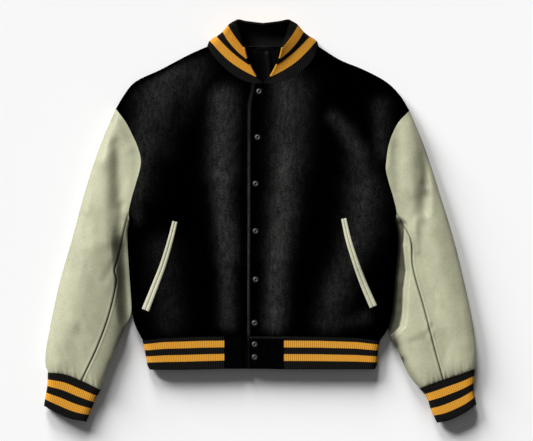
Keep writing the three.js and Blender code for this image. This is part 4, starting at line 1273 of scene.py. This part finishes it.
# %% Welts
POCKET = {"top_width": 11, "end_width": 16, "groove": 0.6, "lift": 0.5, "thick": 2.5, "length": 190}
POCKET_LINES = {
    "right": [(-174, 0), (-184, -40), (-199, -90), (-214, -129), (-235, -182)],
    "left": [(171, 6), (180, -35), (193, -77), (210, -124), (232, -175)],
}
WELT_SECTION = smooth([(0, 0), (-0.03, 0.3), (0.06, 0.75), (0.3, 1), (0.66, 0.98), (0.92, 0.62),
                       (1.0, 0.25), (0.97, 0), (0.5, 0), (0, 0)], steps=12)


def sheet_heights(x, y):
    return upper_height(x, y, clear_of_hem(x, y)) + body_detail(x, y)


def welt_surface(half, outwards):
    line = smooth(POCKET_LINES[half])
    half_turn = 1.0 if half == "left" else 0.3

    def strip(u, v):
        ahead = line(np.clip(u + 0.01, 0, 1)) - line(np.clip(u - 0.01, 0, 1))
        ahead /= np.linalg.norm(ahead, axis=-1, keepdims=True)
        out = np.stack([-ahead[:, 1], ahead[:, 0]], -1)
        out *= (np.sign(out[:, 0]) * outwards)[:, None]
        section = WELT_SECTION(v)
        end = swell(np.minimum(u, 1 - u) * POCKET["length"] / 1.6)
        width = lerp(POCKET["top_width"], POCKET["end_width"], u) / 2 - POCKET["groove"] / 2
        reach = POCKET["groove"] / 2 + (0.5 + (section[:, 0] - 0.5) * lerp(0.6, 1, end)) * width
        spot = line(u) + out * reach[:, None]
        ripple = 0.12 * np.sin(u * 71) * np.sin(u * 23 + half_turn)
        thick = section[:, 1] * end * (POCKET["thick"] + ripple)
        height = sheet_heights(spot[:, 0], spot[:, 1]) + POCKET["lift"] + thick
        return np.column_stack([spot, height])
    return strip


for half in ("right", "left"):
    for edge, outwards in (("inner", -SIDE[half]), ("outer", SIDE[half])):
        piece, area = panel(
            f"cloth_welt_{half}_{edge}", slot="welt_leather", finish=WELT_LEATHER,
            surface=welt_surface(half, outwards), us=shares(120, True, True, 0.03, 0.85),
            vs=np.linspace(0, 1, 29), thickness=0, looks=(0.5, 0.38, 1), size=(190, 14), ring=True, bevel=0)
        piece.modifiers.clear()
        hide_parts(f"welt_{half}_{edge}")


# %% [markdown]
# ## Inside the neck
# Through the neck the lining of the back shows, with a soft fold in it, and a loop of tape at the seam.

# %% Lining and loop
LINING = {"right": -46, "left": 58, "top": 354, "bottom": 150, "lift": 0.4}


def lining_surface(u, v):
    x, y = lerp(LINING["right"], LINING["left"], u), lerp(LINING["bottom"], LINING["top"], v)
    rest = WALL["wool"] + LINING["lift"] + WALL["lining"]
    swag = 2.6 * np.exp(-((x - 18 + (y - 330) * 0.12) / 4.5) ** 2) + 1.1 * np.exp(-((x + 9) / 9) ** 2)
    edge = np.clip(np.minimum(np.minimum(u, 1 - u) * 104, (1 - v) * 204) / 10, 0, 1)
    return np.column_stack([x, y, rest + (swag + 0.35) * edge])


cloth("cloth_back_lining", (0.11, 0.206), ["cloth_back"], shaped=False, slot="lining", finish=SATIN,
      surface=lining_surface, us=np.linspace(0, 1, 61), vs=np.linspace(0, 1, 81), thickness=WALL["lining"],
      looks=(0.5, 0.5, 1), size=(104, 204), bevel=0)

LOOP = {"x": 11, "y": 356, "width": 38, "height": 7.6, "thick": 1.1}


def loop_surface(u, v):
    x = LOOP["x"] + (u - 0.5) * LOOP["width"]
    y = LOOP["y"] + (v - 0.5) * LOOP["height"]
    bow = 1.6 * np.sin(np.pi * u)
    return np.column_stack([x, y - 0.6 * bow, WALL["knit"] + 0.5 + LOOP["thick"] + 0.5 * bow
                            - 0.35 * np.abs(2 * v - 1) ** 3])


cloth("cloth_hanger_loop", (0.039, 0.01), ["cloth_collar"], slot="lining", finish=SATIN,
      surface=loop_surface, us=np.linspace(0, 1, 33), vs=np.linspace(0, 1, 9), thickness=LOOP["thick"],
      looks=(0.5, 0.5, 1), size=(38, 6), bevel=0.2)


# %% [markdown]
# ## Stitches
# A row of topstitching holds the front's edge down. A stitch is a short bead of thread, a sphere of a few faces drawn
# out along its row and laid on the cloth. All rows of one thread are one piece.

# %% Rows of stitches
def stitch_rows(name, finish, rows, pitch, length, thick, lift):
    """rows are functions from a share to points in plan, with each row's length in millimetres."""
    beads = bmesh.new()
    for path, run in rows:
        count = int(run / pitch)
        for k in range(count):
            spot = path((k + 0.5) / count)
            ahead = path(min((k + 0.9) / count, 1)) - path(max((k + 0.1) / count, 0))
            z = top_height(*spot)
            rise = (top_height(*(spot + ahead)) - top_height(*(spot - ahead))) / 2
            direction = Vector((ahead[0], ahead[1], rise)).normalized()
            made = bmesh.ops.create_uvsphere(beads, u_segments=6, v_segments=4, radius=0.5)["verts"]
            bmesh.ops.scale(beads, vec=(thick, thick, length), verts=made)
            turn = Vector((0, 0, 1)).rotation_difference(direction).to_matrix().to_4x4()
            bmesh.ops.transform(beads, matrix=turn, verts=made)
            bmesh.ops.translate(beads, vec=(spot[0], spot[1], z + lift), verts=made)
    bmesh.ops.scale(beads, vec=(MM, MM, MM), verts=beads.verts)
    mesh = bpy.data.meshes.new(name)
    beads.to_mesh(mesh)
    beads.free()
    mesh.shade_smooth()
    mesh.materials.append(finish)
    piece = bpy.data.objects.new(name, mesh)
    bpy.context.scene.collection.objects.link(piece)
    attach(piece, "root")
    print(f"{name}: {len(mesh.polygons)} faces")


def placket_row(inset):
    return lambda share: np.array([placket_edge(lerp(-233, 281, share)) + inset, lerp(-233, 281, share)])


stitch_rows("stitches_placket", BLACK_THREAD, [(placket_row(6.5), 514)],
            pitch=3.6, length=3.0, thick=0.75, lift=0.1)


# %% [markdown]
# ## Floor, light and camera
# The jacket lies on a plain pale floor under a broad soft light from the upper left. Two more lights stand
# very low and fall on the floor alone: one gives the long soft shadow under the hem, and the other the one
# beside the sleeve. The camera looks straight down from far off, so nothing is foreshortened.

# %% Floor
floor = bmesh.new()
bmesh.ops.create_grid(floor, x_segments=1, y_segments=1, size=6)
bmesh.ops.translate(floor, vec=(0, 0, -0.4 * MM), verts=floor.verts)
mesh = bpy.data.meshes.new("floor")
floor.to_mesh(mesh)
floor.free()
stage = bpy.data.objects.new("floor", mesh)
bpy.context.scene.collection.objects.link(stage)
paper = Finish("paper", Base_Color=(0.9, 0.9, 0.9, 1), Roughness=1.0, Specular_IOR_Level=0.0)
mesh.materials.append(paper.material)

# %% Light
KEY = {"direction": (-0.55, 0.5, 0.62), "energy": 4.15, "angle": 26}
FROM_TOP = {"direction": (-0.7, 3.6, 1.0), "energy": 4.7, "angle": 20}
FROM_CORNER = {"direction": (-2.8, 3.0, 1.0), "energy": 7.3, "angle": 24}


def sun(name, direction, energy, angle, lit):
    """A soft sun that lights only some of the pieces. Every piece still throws its shadow."""
    lamp = bpy.data.objects.new(name, bpy.data.lights.new(name, "SUN"))
    lamp.data.energy, lamp.data.angle = energy, math.radians(angle)
    lamp.rotation_euler = Vector(direction).to_track_quat("Z", "Y").to_euler()
    bpy.context.scene.collection.objects.link(lamp)
    group = bpy.data.collections.new(f"lit_by_{name}")
    for piece in lit:
        group.objects.link(piece)
    lamp.light_linking.receiver_collection = group


jacket = [piece for piece in bpy.context.scene.objects if piece.type == "MESH" and piece != stage]
sun("key", **KEY, lit=jacket)
sun("from_top", **FROM_TOP, lit=[stage])
sun("from_corner", **FROM_CORNER, lit=[stage])
world = bpy.data.worlds.new("studio")
world.use_nodes = True
world.node_tree.nodes["Background"].inputs["Color"].default_value = (1, 1, 1, 1)
world.node_tree.nodes["Background"].inputs["Strength"].default_value = 0.1
bpy.context.scene.world = world
bpy.context.scene.view_settings.view_transform = "Standard"

# %% Camera
FRAME_WIDTH, FOCUS_HEIGHT, LENS, SENSOR = 533 * 2.05, 12, 200, 36
camera = bpy.data.objects.new("camera", bpy.data.cameras.new("camera"))
camera.data.lens, camera.data.sensor_width = LENS, SENSOR
distance = FRAME_WIDTH * LENS / SENSOR
camera.location = Vector((12.9, 1.9, FOCUS_HEIGHT + distance)) * MM
camera.data.clip_start, camera.data.clip_end = 0.1, 100
bpy.context.scene.collection.objects.link(camera)
bpy.context.scene.camera = camera
